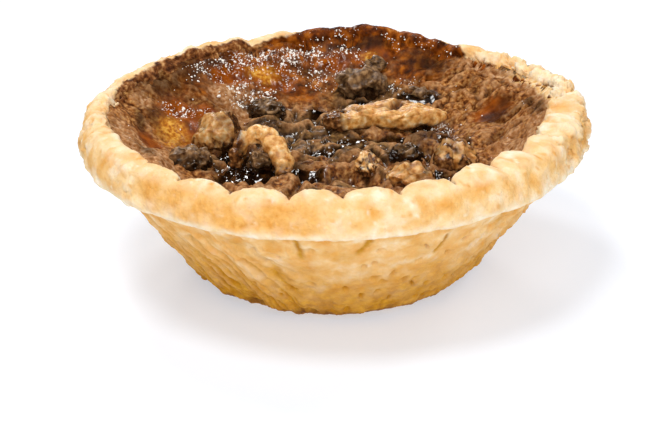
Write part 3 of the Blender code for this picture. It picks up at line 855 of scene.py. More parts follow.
def box_middle(points):
    """The middle of the box round some points."""
    return (points.min(axis=0) + points.max(axis=0)) / 2


offsets = []
for name, (centre, *_) in ROUNDED_PIECES.items():
    built = box_middle(rounded_form(name, unit_ball(3)[0]) + centre) * MM
    packed = np.array(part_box(name)).mean(axis=0)
    offsets.append(packed - built)
FRAME_SHIFT = np.mean(offsets, axis=0) * (1, 1, 0)
print("the frame lies", np.round(FRAME_SHIFT / MM, 3), "mm from the tin's axis")

# %% [markdown]
# ## Shortcrust, baked
# Shortcrust is flour and butter with hardly any sheen: light enters the crumb, spreads a millimetre and
# comes back warm. It baked pale cream on the lobes, gold on the face and brown at the foot, in soft patches
# one to four millimetres wide. Its colours also hold painted highlights on the crest and painted shade in
# pits, cracks and grooves. A photograph of crust could be wrapped round it, but its light would be baked
# in. So the shader starts matt, with a little light let in under the surface, stored masks choose its
# colours, and a fine bump gives the crumb that is too small for the mesh.


# %% The material of the case
# Flour rubbed with butter, pressed and baked: matt, warm and a little crumbly, with hardly a highlight
pastry, tree, shader, place = new_material("baked shortcrust")
PASTRY_LOOKS = (
    ("", 3.4, ((0.32, "#e8a550"), (0.48, "#f1bd73"), (0.60, "#f7cf94"), (0.72, "#fbe1b9"))),
    ("pale_and_highlit", 1.8, ((0.3, "#f7d49c"), (0.7, "#fff0d6"))),
    ("freckle_and_shade", 1.2, ((0.35, "#dd9740"), (0.65, "#f0b564"))),
    ("toast_and_shade", 1.6, ((0.3, "#b17308"), (0.5, "#c88a14"), (0.7, "#dca22c"))),
    ("burnt_and_shade", 0.9, ((0.35, "#6f3d10"), (0.65, "#a0681f"))),
    ("syrup", 1.8, ((0.34, "#371602"), (0.5, "#692f05"), (0.64, "#a05511"), (0.74, "#bd7a35"))),
    ("crept", 1.0, ((0.36, "#472109"), (0.47, "#75421c"), (0.57, "#9a6334"), (0.68, "#c8965f"))),
)
stained = add_node(tree, "Attribute", output="Fac", attribute_name="syrup")
# Real crumb is about 0.1 mm, too fine to show, so it is drawn four times as coarse
crumb_grain = add_node(tree, "TexNoise", {"Vector": place, "Scale": 1 / (0.42 * MM), "Detail": 5.0})
baked = {
    "Base Color": layered_colour(tree, place, PASTRY_LOOKS),
    "Roughness": add_node(tree, "MapRange", {"Value": stained, "To Min": 0.75, "To Max": 0.45}),
    "IOR": 1.42,
    "Specular IOR Level": add_node(tree, "MapRange", {"Value": stained, "To Min": 0.3, "To Max": 0.08}),
    "Subsurface Weight": 0.1,
    "Subsurface Radius": (1.0, 0.6, 0.25),
    "Subsurface Scale": 0.7 * MM,
    "Normal": add_node(tree, "Bump", {"Height": crumb_grain, "Distance": 0.26 * MM}),
}
fill(tree, shader, baked)
print("looks of the pastry:", [look[0] or "crust" for look in PASTRY_LOOKS])

# %% The finished case
ring_count = len(row_normal)
case_faces = ring_faces(ring_count, CASE_STEPS)
middle_inside = len(case_points)
middle_below = middle_inside + 1
last_ring = (ring_count - 1) * CASE_STEPS
for step in range(CASE_STEPS):
    after = (step + 1) % CASE_STEPS
    case_faces.append([middle_inside, step, after])
    case_faces.append([middle_below, last_ring + after, last_ring + step])
all_points = np.vstack([case_points, [[0, 0, CASE_FLOOR], [0, 0, 0]]]) + FRAME_SHIFT
all_points = np.clip(all_points, *np.array(cad_box))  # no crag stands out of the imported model's box
stored = {"syrup": syrup, "toast_and_shade": toast_and_shade, "pale_and_highlit": pale_and_highlit, "burnt_and_shade": burnt_and_shade, "freckle_and_shade": freckle_and_shade, "crept": crept}
stored = {name: np.append(values, [0, 0]) for name, values in stored.items()}
case = make_piece("pastry_case", all_points, case_faces, stored, "pastry", ["pastry_shell"])
case.data.materials.append(pastry)
print("the case has", len(case.data.polygons), "faces")

# %% [markdown]
# ## The form of the filling
# The filling is one body of set syrup: flat and sunken in the middle, and climbing to a thin film on the
# rim. Only its top shows. A height for every place is the natural way to make it, since a boiled and sunken
# skin has folds but no overhangs that matter from above. A square grid pulled out to a circle gives points
# that are evenly spread and still end on a clean round edge.

# %% Sizes of the filling
FILLING_FLOOR = 20.1 * MM
FILM_EDGE_HEIGHT = 27.3 * MM
FILM_EDGE_RADIUS = LIP_RADIUS - 0.4 * MM
FLOOR_RADIUS = 24.0 * MM
CLIMB_CURVE = 1.6
SKIN_RELIEF = 1.1 * MM
SKIN_SIZE = 6.5 * MM
SKIN_OCTAVES = (0.7, 2.2, 2)
EDGE_FADE = 4 * MM
SKIN_SWELLINGS = (
    (-1.5, -8.0, 5.5, 1.8, 1.5, 4),
    (-8.5, 12.5, 5.5, 2.0, 1.5, -55),
    (-25.5, 12.0, 4.5, 2.4, 1.4, 60),
    (22.5, 3.5, 5.5, 2.2, 1.3, 75),
    (17.5, -13.5, 3.5, 2.0, 1.0, 35),
    (-2.0, -19.0, 7.0, 2.2, 1.0, 3),
    (-29.5, -7.5, 4.5, 1.8, 1.1, -72),
    (14.8, 4.0, 4.0, 1.5, 0.9, 20),
)
FILM_TUCK = 0.9 * MM  # the film runs this far on under the crust's lip
FILLING_CELLS = 400
print("the filling sinks", round((FILM_EDGE_HEIGHT - FILLING_FLOOR) / MM, 1), "mm below its edge")


# %% A grid of even squares on a disc
def disc_grid(count):
    """Points of a square grid on a disc of radius 1, row by row."""
    line = np.linspace(-1, 1, count + 1)
    a, b = np.meshgrid(line, line, indexing="ij")
    steep = np.abs(b) > np.abs(a)
    radius = np.where(steep, b, a)
    share = np.divide(np.where(steep, a, b), radius, out=np.zeros_like(a), where=radius != 0)
    angle = np.where(steep, math.pi / 2 - math.pi / 4 * share, math.pi / 4 * share)
    return (radius * np.cos(angle)).ravel(), (radius * np.sin(angle)).ravel()


disc_x, disc_y = disc_grid(FILLING_CELLS)
x = disc_x * (FILM_EDGE_RADIUS + FILM_TUCK)
y = disc_y * (FILM_EDGE_RADIUS + FILM_TUCK)
radius = np.hypot(x, y)
angle = np.arctan2(y, x)
cell_size = 2 * (FILM_EDGE_RADIUS + FILM_TUCK) / FILLING_CELLS
print("the filling's top has", len(x), "points, about", round(cell_size / MM, 2), "mm apart")


# %% The same bowl and folds as the solid
def ellipse_distance(x, y, centre_x, centre_y, half_x, half_y, turn):
    """How far places lie from an ellipse's middle, as a share of its half sizes. All in mm but x and y."""
    c, s = math.cos(math.radians(turn)), math.sin(math.radians(turn))
    dx, dy = x / MM - centre_x, y / MM - centre_y
    return np.hypot((c * dx + s * dy) / half_x, (-s * dx + c * dy) / half_y)


climb = np.maximum(0, (radius - FLOOR_RADIUS) / (FILM_EDGE_RADIUS - FLOOR_RADIUS))
bowl = FILLING_FLOOR + (FILM_EDGE_HEIGHT - FILLING_FLOOR) * climb**CLIMB_CURVE
swell = np.zeros(len(x))
for *middle_and_half_sizes, swell_height, turn in SKIN_SWELLINGS:
    away = ellipse_distance(x, y, *middle_and_half_sizes, turn)
    swell += swell_height * MM * np.exp(-(away**2))
rumple = np.array([noise.fractal(Vector((a, b, 0)) / SKIN_SIZE, *SKIN_OCTAVES) for a, b in zip(x, y)])
inside_edge = 1 - ease((radius - FILM_EDGE_RADIUS + EDGE_FADE) / EDGE_FADE)
base_height = bowl + inside_edge * (swell + SKIN_RELIEF * rumple)
lowest, highest = base_height.min() / MM, base_height.max() / MM
print("the filling's top runs from", round(lowest, 1), "to", round(highest, 1), "mm")

# %% [markdown]
# ## Regions of the skin
# The photograph shows six kinds of surface on the filling: matt brown skin with folds on the slopes, a
# grey-brown crust in the middle, near-black wet syrup in the hollows, dark caramel at the back, smooth amber
# windows where the skin stayed thin, and froth that dried to pale specks, which are coloured white as
# painted glints. They could be painted on. Here each kind has a list of soft-edged ellipses in millimetres,
# centre, half sizes and turn, and noise makes their edges ragged.

# %% Places of amber, caramel, grey crust, wet syrup and froth
AMBER_PLACES = (
    (-26.4, 11.0, 4.6, 6.8, 8),
    (-30.8, 1.2, 1.7, 3.4, 25),
    (-23.0, 15.6, 2.6, 2.3, 20),
    (-12.8, 29.6, 5.4, 3.0, -8),
    (-19.8, 27.6, 3.6, 2.2, 35),
    (6.8, 33.4, 4.0, 1.8, 0),
    (0.5, 32.6, 2.6, 1.4, 0),
    (27.0, 12.2, 3.6, 3.0, -20),
)
GLOW_PLACES = ((-27.8, 6.6, 2.6, 4.0, 12), (-12.8, 29.6, 2.6, 1.5, 0), (7.0, 33.6, 1.4, 0.8, 0))
CARAMEL_PLACES = (
    (2.0, 34.0, 24.0, 6.6, 0),
    (-20.0, 26.5, 9.0, 5.5, 45),
    (14.0, 30.0, 7.0, 4.0, -25),
    (-8.0, 27.0, 9.0, 4.0, 0),
)
GREY_PLACES = (
    (-4.5, 10.0, 10.5, 9.5, 0),
    (-9.5, 17.0, 4.0, 2.6, -20),
    (5.5, 2.0, 8.0, 4.5, 0),
    (-22.5, -2.0, 5.0, 3.0, 0),
    (8.5, -10.5, 4.0, 2.2, 0),
    (1.0, -15.0, 6.0, 1.6, 0),
    (5.5, 25.0, 6.5, 4.5, 0),
)
WET_PLACES = (
    (-14.0, -6.7, 7.2, 3.3, -8),
    (-17.0, 0.5, 3.4, 3.0, 30),
    (-12.5, 21.5, 4.6, 1.9, -15),
    (12.5, -1.5, 3.6, 3.4, 0),
    (17.2, -12.2, 2.4, 2.8, 20),
    (14.0, 22.3, 5.2, 1.5, -12),
    (20.2, 2.4, 2.8, 3.6, 10),
    (7.0, 6.8, 8.0, 1.3, 4),
    (4.5, 20.6, 6.0, 1.7, 0),
    (-5.5, -9.2, 4.6, 1.6, 0),
    (-2.0, 3.0, 3.6, 1.2, 12),
    (-7.5, 16.0, 3.0, 1.0, -30),
    (16.4, 9.0, 3.4, 2.0, -20),
    (-1.5, 19.5, 3.0, 1.4, 0),
)
FROTH_PLACES = (
    (-10.0, 33.4, 12.0, 3.6, -4),
    (-7.0, 34.0, 4.5, 2.6, 0),
    (-20.5, 29.3, 5.2, 2.6, 38),
    (-15.0, 25.0, 4.0, 2.4, 20),
    (12.0, 26.5, 2.2, 1.4, 0),
    (-27.0, 14.0, 3.4, 1.7, 20),
    (17.8, 11.6, 2.4, 1.9, 0),
)
syrupy_places = (AMBER_PLACES, GLOW_PLACES, CARAMEL_PLACES, GREY_PLACES, WET_PLACES, FROTH_PLACES)
print("places of syrup, crust and froth:", [len(places) for places in syrupy_places])

# %% Places of tan skin with painted light, places of painted shade, and the pits
# Tan skin that is also made lighter here as painted light
TAN_AND_LIT_PLACES = (
    (-18.6, 22.6, 5.4, 3.0, -40),
    (-20.8, 25.6, 2.6, 2.0, 0),
    (25.0, 26.0, 3.4, 1.6, -45),
    (33.6, -3.0, 1.5, 4.2, 0),
    (-35.0, -11.0, 1.6, 6.0, 22),
    (-29.6, -15.8, 1.8, 4.0, 50),
    (-33.2, 13.0, 1.4, 3.2, 15),
    (12.0, -15.6, 3.0, 1.2, 15),
    (4.0, -17.0, 4.0, 1.2, 0),
    (-13.5, -14.2, 5.5, 1.2, -10),
    (-34.3, 18.5, 1.6, 2.6, 25),
    (-18.9, 17.0, 2.2, 2.4, 0),
    (-35.4, -2.0, 1.2, 4.0, 0),
    (12.4, 6.2, 3.0, 1.2, 10),
)
# Places where shade is painted into the colour: under pieces, in grooves and in the slopes' dark folds
SHADED_PLACES = (
    (-30.6, 19.4, 4.6, 3.0, 48),
    (34.4, 4.8, 1.1, 2.4, 0),
    (-25.8, 25.0, 5.0, 2.2, 45),
    (-21.5, 29.6, 3.2, 1.6, 35),
    (-32.9, 6.3, 0.9, 3.4, 8),
    (-31.0, -5.5, 1.4, 3.0, 20),
    (5.0, 35.9, 9.0, 1.0, 0),
    (17.4, 29.8, 4.5, 2.2, -30),
    (29.2, 12.7, 1.7, 1.2, 0),
    (33.2, 9.0, 1.2, 1.8, 0),
    (20.4, 2.1, 2.0, 3.2, 0),
    (-12.4, 21.3, 3.5, 1.4, -15),
    (-18.4, 8.6, 3.0, 2.4, 20),
    (-11.6, 13.0, 3.4, 2.4, -20),
    (2.9, -4.6, 2.4, 2.2, 0),
    (-6.2, -4.4, 2.4, 2.2, 0),
    (-0.2, -10.9, 2.6, 2.0, 0),
    (15.2, 4.2, 2.8, 3.0, 0),
    (27.6, 10.4, 2.6, 2.4, 0),
    (-30.6, 9.6, 1.8, 2.6, 0),
)
PITS = (  # centre, radius and depth in mm
    (17.4, 25.9, 0.7, 1.3),
    (13.6, -1.9, 1.3, 1.6),
    (17.0, -13.2, 1.6, 1.7),
    (-16.2, -1.4, 2.3, 1.6),
    (-9.8, 21.0, 1.4, 1.0),
    (8.0, 7.3, 2.0, 0.8),
    (2.0, 21.0, 2.6, 0.9),
    (-4.0, -9.6, 2.0, 0.8),
)
print("places of skin:", [len(TAN_AND_LIT_PLACES), len(SHADED_PLACES)], "and pits:", len(PITS))

# %% Masks from the places
flat = np.column_stack([x, y, 0 * x])
ragged = 0.42 * ripple(flat, 3.2 * MM, 31) + 0.30 * ripple(flat, 1.3 * MM, 32)
ragged += 0.16 * ripple(flat, 0.55 * MM, 33)


def region(places, softness=0.35):
    """1 inside any of the ellipses and 0 outside, with ragged edges."""
    nearest = np.min([ellipse_distance(x, y, *place) for place in places], axis=0)
    return ease((1 + softness / 2 - nearest - ragged) / softness)


amber = region(AMBER_PLACES, 0.8)
glow = 0.85 * region(GLOW_PLACES, 1.3) * amber
wet = region(WET_PLACES, 0.6) * (1 - amber)
grey = region(GREY_PLACES, 0.6) * (1 - amber)
caramel = region(CARAMEL_PLACES, 1.5) * (1 - 0.7 * grey)
froth_zone = region(FROTH_PLACES, 1.7)
# sunny is tan skin and painted light: the outer ring's front, the tan places and the right edge
outer = ease((radius - 25 * MM) / (4 * MM))
sunny = outer * ease(0.6 - 2.0 * y / np.maximum(radius, MM) + 0.6 * ripple(flat, 2.5 * MM, 70))
around = np.degrees(angle)
right_rim = ease((radius - 34.6 * MM) / (1.4 * MM) + 0.8 * ripple(flat, 1.6 * MM, 71))
right_rim *= sector(around, 12, 40, 12)
sunny = np.maximum(np.maximum(0.85 * sunny, 0.9 * region(TAN_AND_LIT_PLACES, 1.3)), 0.9 * right_rim) * (1 - amber)
crumby = ease((radius - 36.1 * MM) / (0.5 * MM) + 1.6 * ripple(flat, 1.5 * MM, 72))
crumby *= sector(around, 2, 36, 12)  # pastry crumbs along the film's edge at the right
middle = ease((27 * MM - radius) / (6 * MM)) * (1 - amber) * (1 - caramel)
kinds = {"amber": amber, "grey": grey, "wet": wet, "caramel": caramel, "froth": froth_zone, "sunny": sunny}
print({name: round(float(mask.mean()), 3) for name, mask in kinds.items()})

# %% [markdown]
# ## Collars, folds and pits
# Set syrup climbs a little against every nut and raisin, as water does against a glass. Between them the
# skin shrank as it cooled: on the slopes it hangs in folds that run downhill, and in the middle it lies in
# thick soft folds with deep valleys. They could be sculpted one by one. Here each effect is a height in
# millimetres that comes from noise or from the named places, added where its mask says.

# %% Collars round the nuts and raisins
ARCH_FEET = ((-16.6, -4.6, 1.6, 1.6, 0), (-7.6, -7.8, 1.7, 1.7, 0))
PLATE_FOOT = (8.7, 12.8, 8.6, 4.9, 4)
COLLAR_WIDTH = 0.95  # mm
COLLAR_HEIGHT = 0.75  # mm
COLLAR_START = 0.82  # share of a piece's half size, since each piece is narrower where it enters the syrup

rounded_feet = [(*centre[:2], *half[:2], turn[2]) for centre, half, turn, *_ in ROUNDED_PIECES.values()]
collar = np.zeros(len(x))
for foot_place in (*rounded_feet, *ARCH_FEET, PLATE_FOOT):
    narrower = min(foot_place[2], foot_place[3])
    outwards = (ellipse_distance(x, y, *foot_place) - COLLAR_START) * narrower
    collar = np.maximum(collar, np.exp(-((np.maximum(outwards, 0) / COLLAR_WIDTH) ** 2)))
print("collars:", len(rounded_feet) + len(ARCH_FEET) + 1)

# %% Folds, lumps and bubbles
downhill = np.column_stack([30 * MM * np.cos(angle), 30 * MM * np.sin(angle), radius * 0.55])
curl = np.column_stack([ripple(flat, 2.4 * MM, 41), ripple(flat, 2.4 * MM, 42), 0 * x]) * 1.4 * MM
fine_folds = 0.5 * creases(downhill + curl, 0.70 * MM, 43) + 0.5 * creases(flat + 0.6 * curl, 0.50 * MM, 44)
deep_folds = ease(creases(downhill * (0.9, 0.9, 1) + 2.2 * curl, 3.6 * MM, 45) * 1.2)
swells = ease(creases(flat + 2.0 * curl, 6.2 * MM, 50) * 1.2)
small_swells = ease(creases(flat + 1.4 * curl, 3.0 * MM, 52) * 1.2)
nap = ripple(flat, 0.8 * MM, 55) + 0.9 * ripple(flat, 0.42 * MM, 56)  # the suede of dried bubbles


def domes(size, warp, seed):
    """Rounded lumps that lie close together, each of its own height up to 1."""
    away, chosen = pebbles(x + warp * curl[:, 0], y + warp * curl[:, 1], size, seed)
    return np.sqrt(np.clip(1 - (away / (0.62 * size)) ** 2, 0, 1)) * (0.3 + 0.7 * chosen)


large_lumps = domes(4.4 * MM, 1.2, 15)
froth_place, froth_chance = pebbles(x + 0.5 * curl[:, 1], y + 0.5 * curl[:, 0], 0.62 * MM, 8)
froth_bubbles = ease(1.1 - froth_place / (0.40 * MM)) * (froth_chance > 0.35)
lumps = ripple(flat, 2.8 * MM, 47)
waves = ripple(flat, 1.4 * MM, 48)
print("share of the middle in the valleys between folds:", round(float((swells < 0.3).mean()), 2))

# %% Heights of the fine relief
LOWEST_LIFT, HIGHEST_LIFT = -2.2, 1.7  # mm
skin = np.clip(1 - amber - 0.8 * grey - wet - caramel, 0, 1)
on_slope = ease((radius - 22 * MM) / (5 * MM))
upper_left = ease((-x - 14 * MM) / (6 * MM)) * ease((y - 10 * MM) / (6 * MM))
fold_height = 0.60 + 0.8 * upper_left + 0.5 * (x > 0)
lift = skin * (fold_height * deep_folds * on_slope + 0.70 * lumps + 0.42 * waves - 0.35)
lift += skin * (0.08 * fine_folds + 0.06 * nap)
lift += middle * (1.75 * swells + 0.42 * small_swells + 0.14 * (large_lumps + waves) + 0.04 * nap - 1.45)
lift += wet * (-0.50 + 0.10 * waves + 0.40 * lumps)
lift += caramel * (0.50 * lumps + 0.36 * waves)
lift += amber * (-0.40 + 0.20 * lumps + 0.16 * waves)
lift += froth_zone * 0.16 * froth_bubbles * (1 - 0.7 * amber)
lift += collar * COLLAR_HEIGHT + crumby * (0.5 + 0.5 * waves)
for pit_x, pit_y, pit_radius, depth in PITS:
    lift -= depth * ease(1.25 - ellipse_distance(x, y, pit_x, pit_y, pit_radius, pit_radius, 0))
rim_calm = 1 - 0.75 * ease((radius - 35.5 * MM) / (2 * MM))
lift = np.clip(lift, LOWEST_LIFT, HIGHEST_LIFT)
height = base_height + lift * rim_calm * MM
print("fine relief of the filling from", round(lift.min(), 2), "to", round(lift.max(), 2), "mm")

# %% [markdown]
# ## Where syrup gathers, and painted shade in the hollows
# Syrup runs into every dip and dries off every ridge, so shine follows the relief. The darkness of the
# hollows is painted shade, and the paler ridges are partly dry skin and partly painted highlight. Both could
# be painted by hand. Comparing each place with the average around it does it everywhere at once: what lies
# below the average is a hollow, and what stands above is a ridge.


# %% Hollows and ridges
def averaged(values, reach, times=3):
    """Values of the square grid, each replaced by the average of those within reach."""
    grid = values.reshape(FILLING_CELLS + 1, FILLING_CELLS + 1)
    for _ in range(times):
        for axis in (0, 1):
            grid = sum(np.roll(grid, step, axis) for step in range(-reach, reach + 1)) / (2 * reach + 1)
    return grid.ravel()


above_average = lift - averaged(lift, 4)
hollow = ease(-above_average / 0.30 - 0.05) * (1 - 0.45 * skin)
ridge = ease(above_average / 0.34 - 0.1)
# Painted shade: near black in the hollows, at the shaded places, over the upper left, in the grain's dips
shade = 0.9 * hollow * (1 - 0.75 * amber) * (1 - 0.75 * caramel) * (1 - 0.6 * sunny)
shade = np.maximum(shade, 0.75 * region(SHADED_PLACES, 1.6) * (1 - glow))
suede = np.clip(1 - wet - amber - 0.7 * caramel, 0, 1)
shade = np.maximum(shade, 0.30 * suede * ease(-nap * 2.6 - 0.25))
blotch = ripple(flat, 4.2 * MM, 57) + 0.6 * ripple(flat, 1.9 * MM, 58)
shade = np.maximum(shade, 0.42 * suede * ease(-blotch * 2.6 - 0.3) * (1 - 0.7 * sunny))
shade = np.maximum(shade, 0.42 * upper_left * suede)
sunny *= 1 - 0.7 * ease((-y - 17 * MM) / (7 * MM)) * ease(0.45 - 2.2 * blotch)
sunny = np.maximum(sunny, 0.45 * suede * ease(blotch * 2.6 - 0.45) * (1 - middle))
# Dry skin, paler on the ridges and grain tops: partly its own colour and partly painted highlight
dry_and_highlit = ridge * (1 - wet) * (1 - amber) * (0.75 - 0.35 * caramel) + 0.45 * suede * ease(nap * 2.4 - 0.3)
pooled = middle * hollow
threads_near = ease(1.4 - creases(flat, 1.3 * MM, 61) / 0.6)
gloss = 0.16 + 0.68 * wet + 0.34 * amber + 0.10 * caramel + 0.5 * pooled + 0.5 * froth_zone * threads_near
gloss += 0.22 * middle - 0.25 * dry_and_highlit - 0.10 * sunny - 0.25 * amber * (x > 0)
hollow_share, ridge_share = float((hollow > 0.5).mean()), float((ridge > 0.5).mean())
print("hollows cover", round(hollow_share, 2), "and ridges", round(ridge_share, 2))

# %% [markdown]
# ## The film along the crimped lip
# At its edge the film follows the crust: up over each lobe and down into each notch, where syrup ran out a
# little, and less so where the crimps are worn. The same functions that crimped the case move the film's
# edge, so the two always meet. Below, the body of the filling is closed by its side and underside, which
# stay hidden in the case.

# %% The film's edge follows the lobes
near_lip = ease((radius - 33 * MM) / (4.6 * MM))
plain_notch = np.array([notch_amount(a) for a in angle])
notch_here = (1 - worn(around)) * plain_notch + worn(around) * in_notch.mean()
notch_here += extra_notch(plain_notch, around)
notch_here *= np.array([lobe_depth(a) for a in angle])
crest_here = np.array([RIM_WANDER * round_the_rim(a, CREST_NOISE) - FRONT_RISE * math.sin(a) for a in angle])
swing_here = np.array([LOBE_SWING * round_the_rim(a, SWING_NOISE) for a in angle])
moved_radius = radius + NOTCH_INSET * notch_here * near_lip**2
moved_angle = angle + swing_here * near_lip
top_height = height + near_lip * (crest_here - sunk(around))
top_height -= NOTCH_DEPTH * notch_here * near_lip**2
top = np.column_stack([moved_radius * np.cos(moved_angle), moved_radius * np.sin(moved_angle), top_height])
edge = radius > FILM_EDGE_RADIUS
print("the film's edge is up to", round(float(top_height[edge].max() / MM), 1), "mm high")

# %% The body of the filling is closed
count = FILLING_CELLS + 1
numbers = np.arange(count * count).reshape(count, count)
squares = np.stack([numbers[:-1, :-1], numbers[1:, :-1], numbers[1:, 1:], numbers[:-1, 1:]], axis=-1)
filling_faces = squares.reshape(-1, 4).tolist()
edge_loop = np.concatenate([numbers[:-1, 0], numbers[-1, :-1], numbers[:0:-1, -1], numbers[0, :0:-1]])
edge_angles = angle[edge_loop]
sideways = GAP * math.hypot(1, WALL_SPREAD)
side_rows = (
    (SHOULDER_RADIUS - sideways, SHOULDER_HEIGHT),
    (inner_foot_radius() - sideways + GAP * WALL_SPREAD, CASE_FLOOR + GAP),
)
round_edge = np.column_stack([np.cos(edge_angles), np.sin(edge_angles), np.zeros(len(edge_loop))])
sides = [round_edge * side_radius + (0, 0, side_height) for side_radius, side_height in side_rows]
filling_points = np.vstack([top, *sides, [[0, 0, CASE_FLOOR + GAP]]])
filling_points = np.array([dented(Vector(point)) for point in filling_points]) + FRAME_SHIFT
loops = [edge_loop]
for number in range(len(side_rows)):
    loops.append(len(top) + number * len(edge_loop) + np.arange(len(edge_loop)))
for upper, lower in zip(loops, loops[1:]):
    filling_faces += np.column_stack([upper, lower, np.roll(lower, -1), np.roll(upper, -1)]).tolist()
centre_below = np.full(len(edge_loop), len(filling_points) - 1)
filling_faces += np.column_stack([loops[-1], centre_below, np.roll(loops[-1], -1)]).tolist()
print("the filling has", len(filling_faces), "faces")

# %% [markdown]
# ## Baked syrup
# The filling is brown sugar, butter and egg, boiled until its skin browned. Thick it is almost black, thin
# it glows amber, and where it dried it is a matt brown or grey-brown crust. One shader holds all of these,
# because on the real tart they run into each other: the stored masks choose colour and roughness, noise
# breaks both up, and light that spreads under the surface gives the amber its depth.


# %% The material of the filling
# Brown sugar boiled to a syrup and set: glassy where it is wet, dull as suede where its skin dried
syrup_look, tree, shader, place = new_material("baked brown-sugar syrup")
# Among these looks, shade is painted shade, sunny adds painted light and the dry look painted highlight
SYRUP_LOOKS = (
    ("", 0.7, ((0.36, "#4d250c"), (0.46, "#80481c"), (0.56, "#a66b35"), (0.67, "#ca9558"))),
    ("grey", 0.9, ((0.32, "#2c1a0c"), (0.47, "#614324"), (0.61, "#8a6437"), (0.76, "#b58c58"))),
    ("caramel", 1.8, ((0.34, "#371602"), (0.5, "#6f3303"), (0.66, "#b0600f"))),
    ("sunny", 0.8, ((0.34, "#845029"), (0.5, "#b57f50"), (0.66, "#e0b68c"))),
    ("dry_and_highlit", 0.6, ((0.35, "#946238"), (0.65, "#c8996a"))),
    ("wet", 1.6, ((0.35, "#0b0502"), (0.55, "#221105"), (0.74, "#54300f"))),
    ("amber", 2.0, ((0.35, "#652a04"), (0.65, "#a0500a"))),
    ("glow", 0.6, ((0.36, "#9c560d"), (0.5, "#cb831f"), (0.64, "#eab24a"))),
    ("shade", 0.6, ((0.35, "#0c0502"), (0.65, "#2c1607"))),
    ("crumby", 0.9, ((0.35, "#e3ad62"), (0.65, "#fbe0b4"))),
)
shine = add_node(tree, "Attribute", output="Fac", attribute_name="gloss")
bubbles = add_node(tree, "TexNoise", {"Vector": place, "Scale": 1 / (1.1 * MM), "Detail": 1.0})
bubbling = add_node(tree, "Attribute", output="Fac", attribute_name="bubbly")
bubble_height = add_node(tree, "Math", {0: bubbles, 1: bubbling}, operation="MULTIPLY")
bubble_bump = add_node(tree, "Bump", {"Height": bubble_height, "Distance": 0.6 * MM})
# The dried skin's own grain is below 0.1 mm, too fine to show, so it is drawn four times as coarse
fibres = add_node(tree, "TexNoise", {"Vector": place, "Scale": 1 / (0.4 * MM), "Detail": 5.0})
dull = add_node(tree, "MapRange", {"Value": shine, "From Min": 0.75, "From Max": 0.3})
fibre_height = add_node(tree, "Math", {0: fibres, 1: dull}, operation="MULTIPLY")
set_syrup = {
    "Base Color": layered_colour(tree, place, SYRUP_LOOKS),
    "Roughness": add_node(tree, "MapRange", {"Value": shine, "To Min": 0.70, "To Max": 0.12}),
    "Specular IOR Level": add_node(
        tree, "MapRange", {"Value": shine, "From Min": 0.2, "To Min": 0.03, "To Max": 0.48}
    ),
    "IOR": 1.48,
    "Coat Weight": add_node(
        tree, "MapRange", {"Value": shine, "From Min": 0.45, "From Max": 0.9, "To Max": 0.6}
    ),
    "Coat IOR": 1.5,
    "Coat Roughness": 0.06,
    "Coat Normal": bubble_bump,
    "Subsurface Weight": 0.08,
    "Subsurface Radius": (1.0, 0.5, 0.15),
    "Subsurface Scale": 0.8 * MM,
    "Normal": add_node(
        tree, "Bump", {"Height": fibre_height, "Distance": 0.11 * MM, "Normal": bubble_bump}
    ),
}
fill(tree, shader, set_syrup)
print("looks of the filling:", [look[0] or "skin" for look in SYRUP_LOOKS])

# %% The finished filling
bubbly = np.clip(0.10 + 0.02 * wet + 0.85 * froth_zone + 0.10 * caramel + 0.2 * grey + 0.15 * amber, 0, 1)
stored = {"amber": amber, "glow": glow, "grey": grey, "wet": wet, "caramel": caramel, "sunny": sunny}
stored.update({"shade": shade, "dry_and_highlit": dry_and_highlit, "bubbly": bubbly, "crumby": crumby})
stored["gloss"] = gloss * (1 - crumby)
hidden = len(filling_points) - len(top)
stored = {name: np.append(values, np.zeros(hidden)) for name, values in stored.items()}
filling = make_piece("syrup_filling", filling_points, filling_faces, stored, "syrup", ["filling"])
filling.data.materials.append(syrup_look)
print("stored on the filling:", list(stored))

# %% [markdown]
# ## Walnuts
# Walnut halves break into lobed pieces with a brain-like surface. These were baked in: gold where they stand
# clear, browner near the syrup that coats them. Each rounded piece starts as the ball with folds that the
# solid has, on a finer mesh, and gets grooves about two millimetres apart and a grain of half a millimetre.


# %% The fine ball, the way out of a surface and the reach of the syrup
def outward(points, faces):
    """The outward direction at each point of a closed mesh."""
    corners = points[np.array(faces)]
    across = np.cross(corners[:, 1] - corners[:, 0], corners[:, 2] - corners[:, 0])
    total = np.zeros_like(points)
    for corner_number in range(3):
        np.add.at(total, np.array(faces)[:, corner_number], across)
    return total / np.linalg.norm(total, axis=1)[:, None]


def syrup_cover(points, level, height, seed):
    """1 where the syrup reaches up a piece and 0 at its bare top, with a ragged line between. In mm."""
    line = level + height * (0.5 + 0.9 * ripple(points, 1.6, seed) + 0.5 * ripple(points, 0.6, seed + 1))
    return ease((line - points[:, 2]) / 1.2 + 0.5)


BALL_POINTS, BALL_FACES = unit_ball(6)
print("the fine ball has", len(BALL_POINTS), "points")


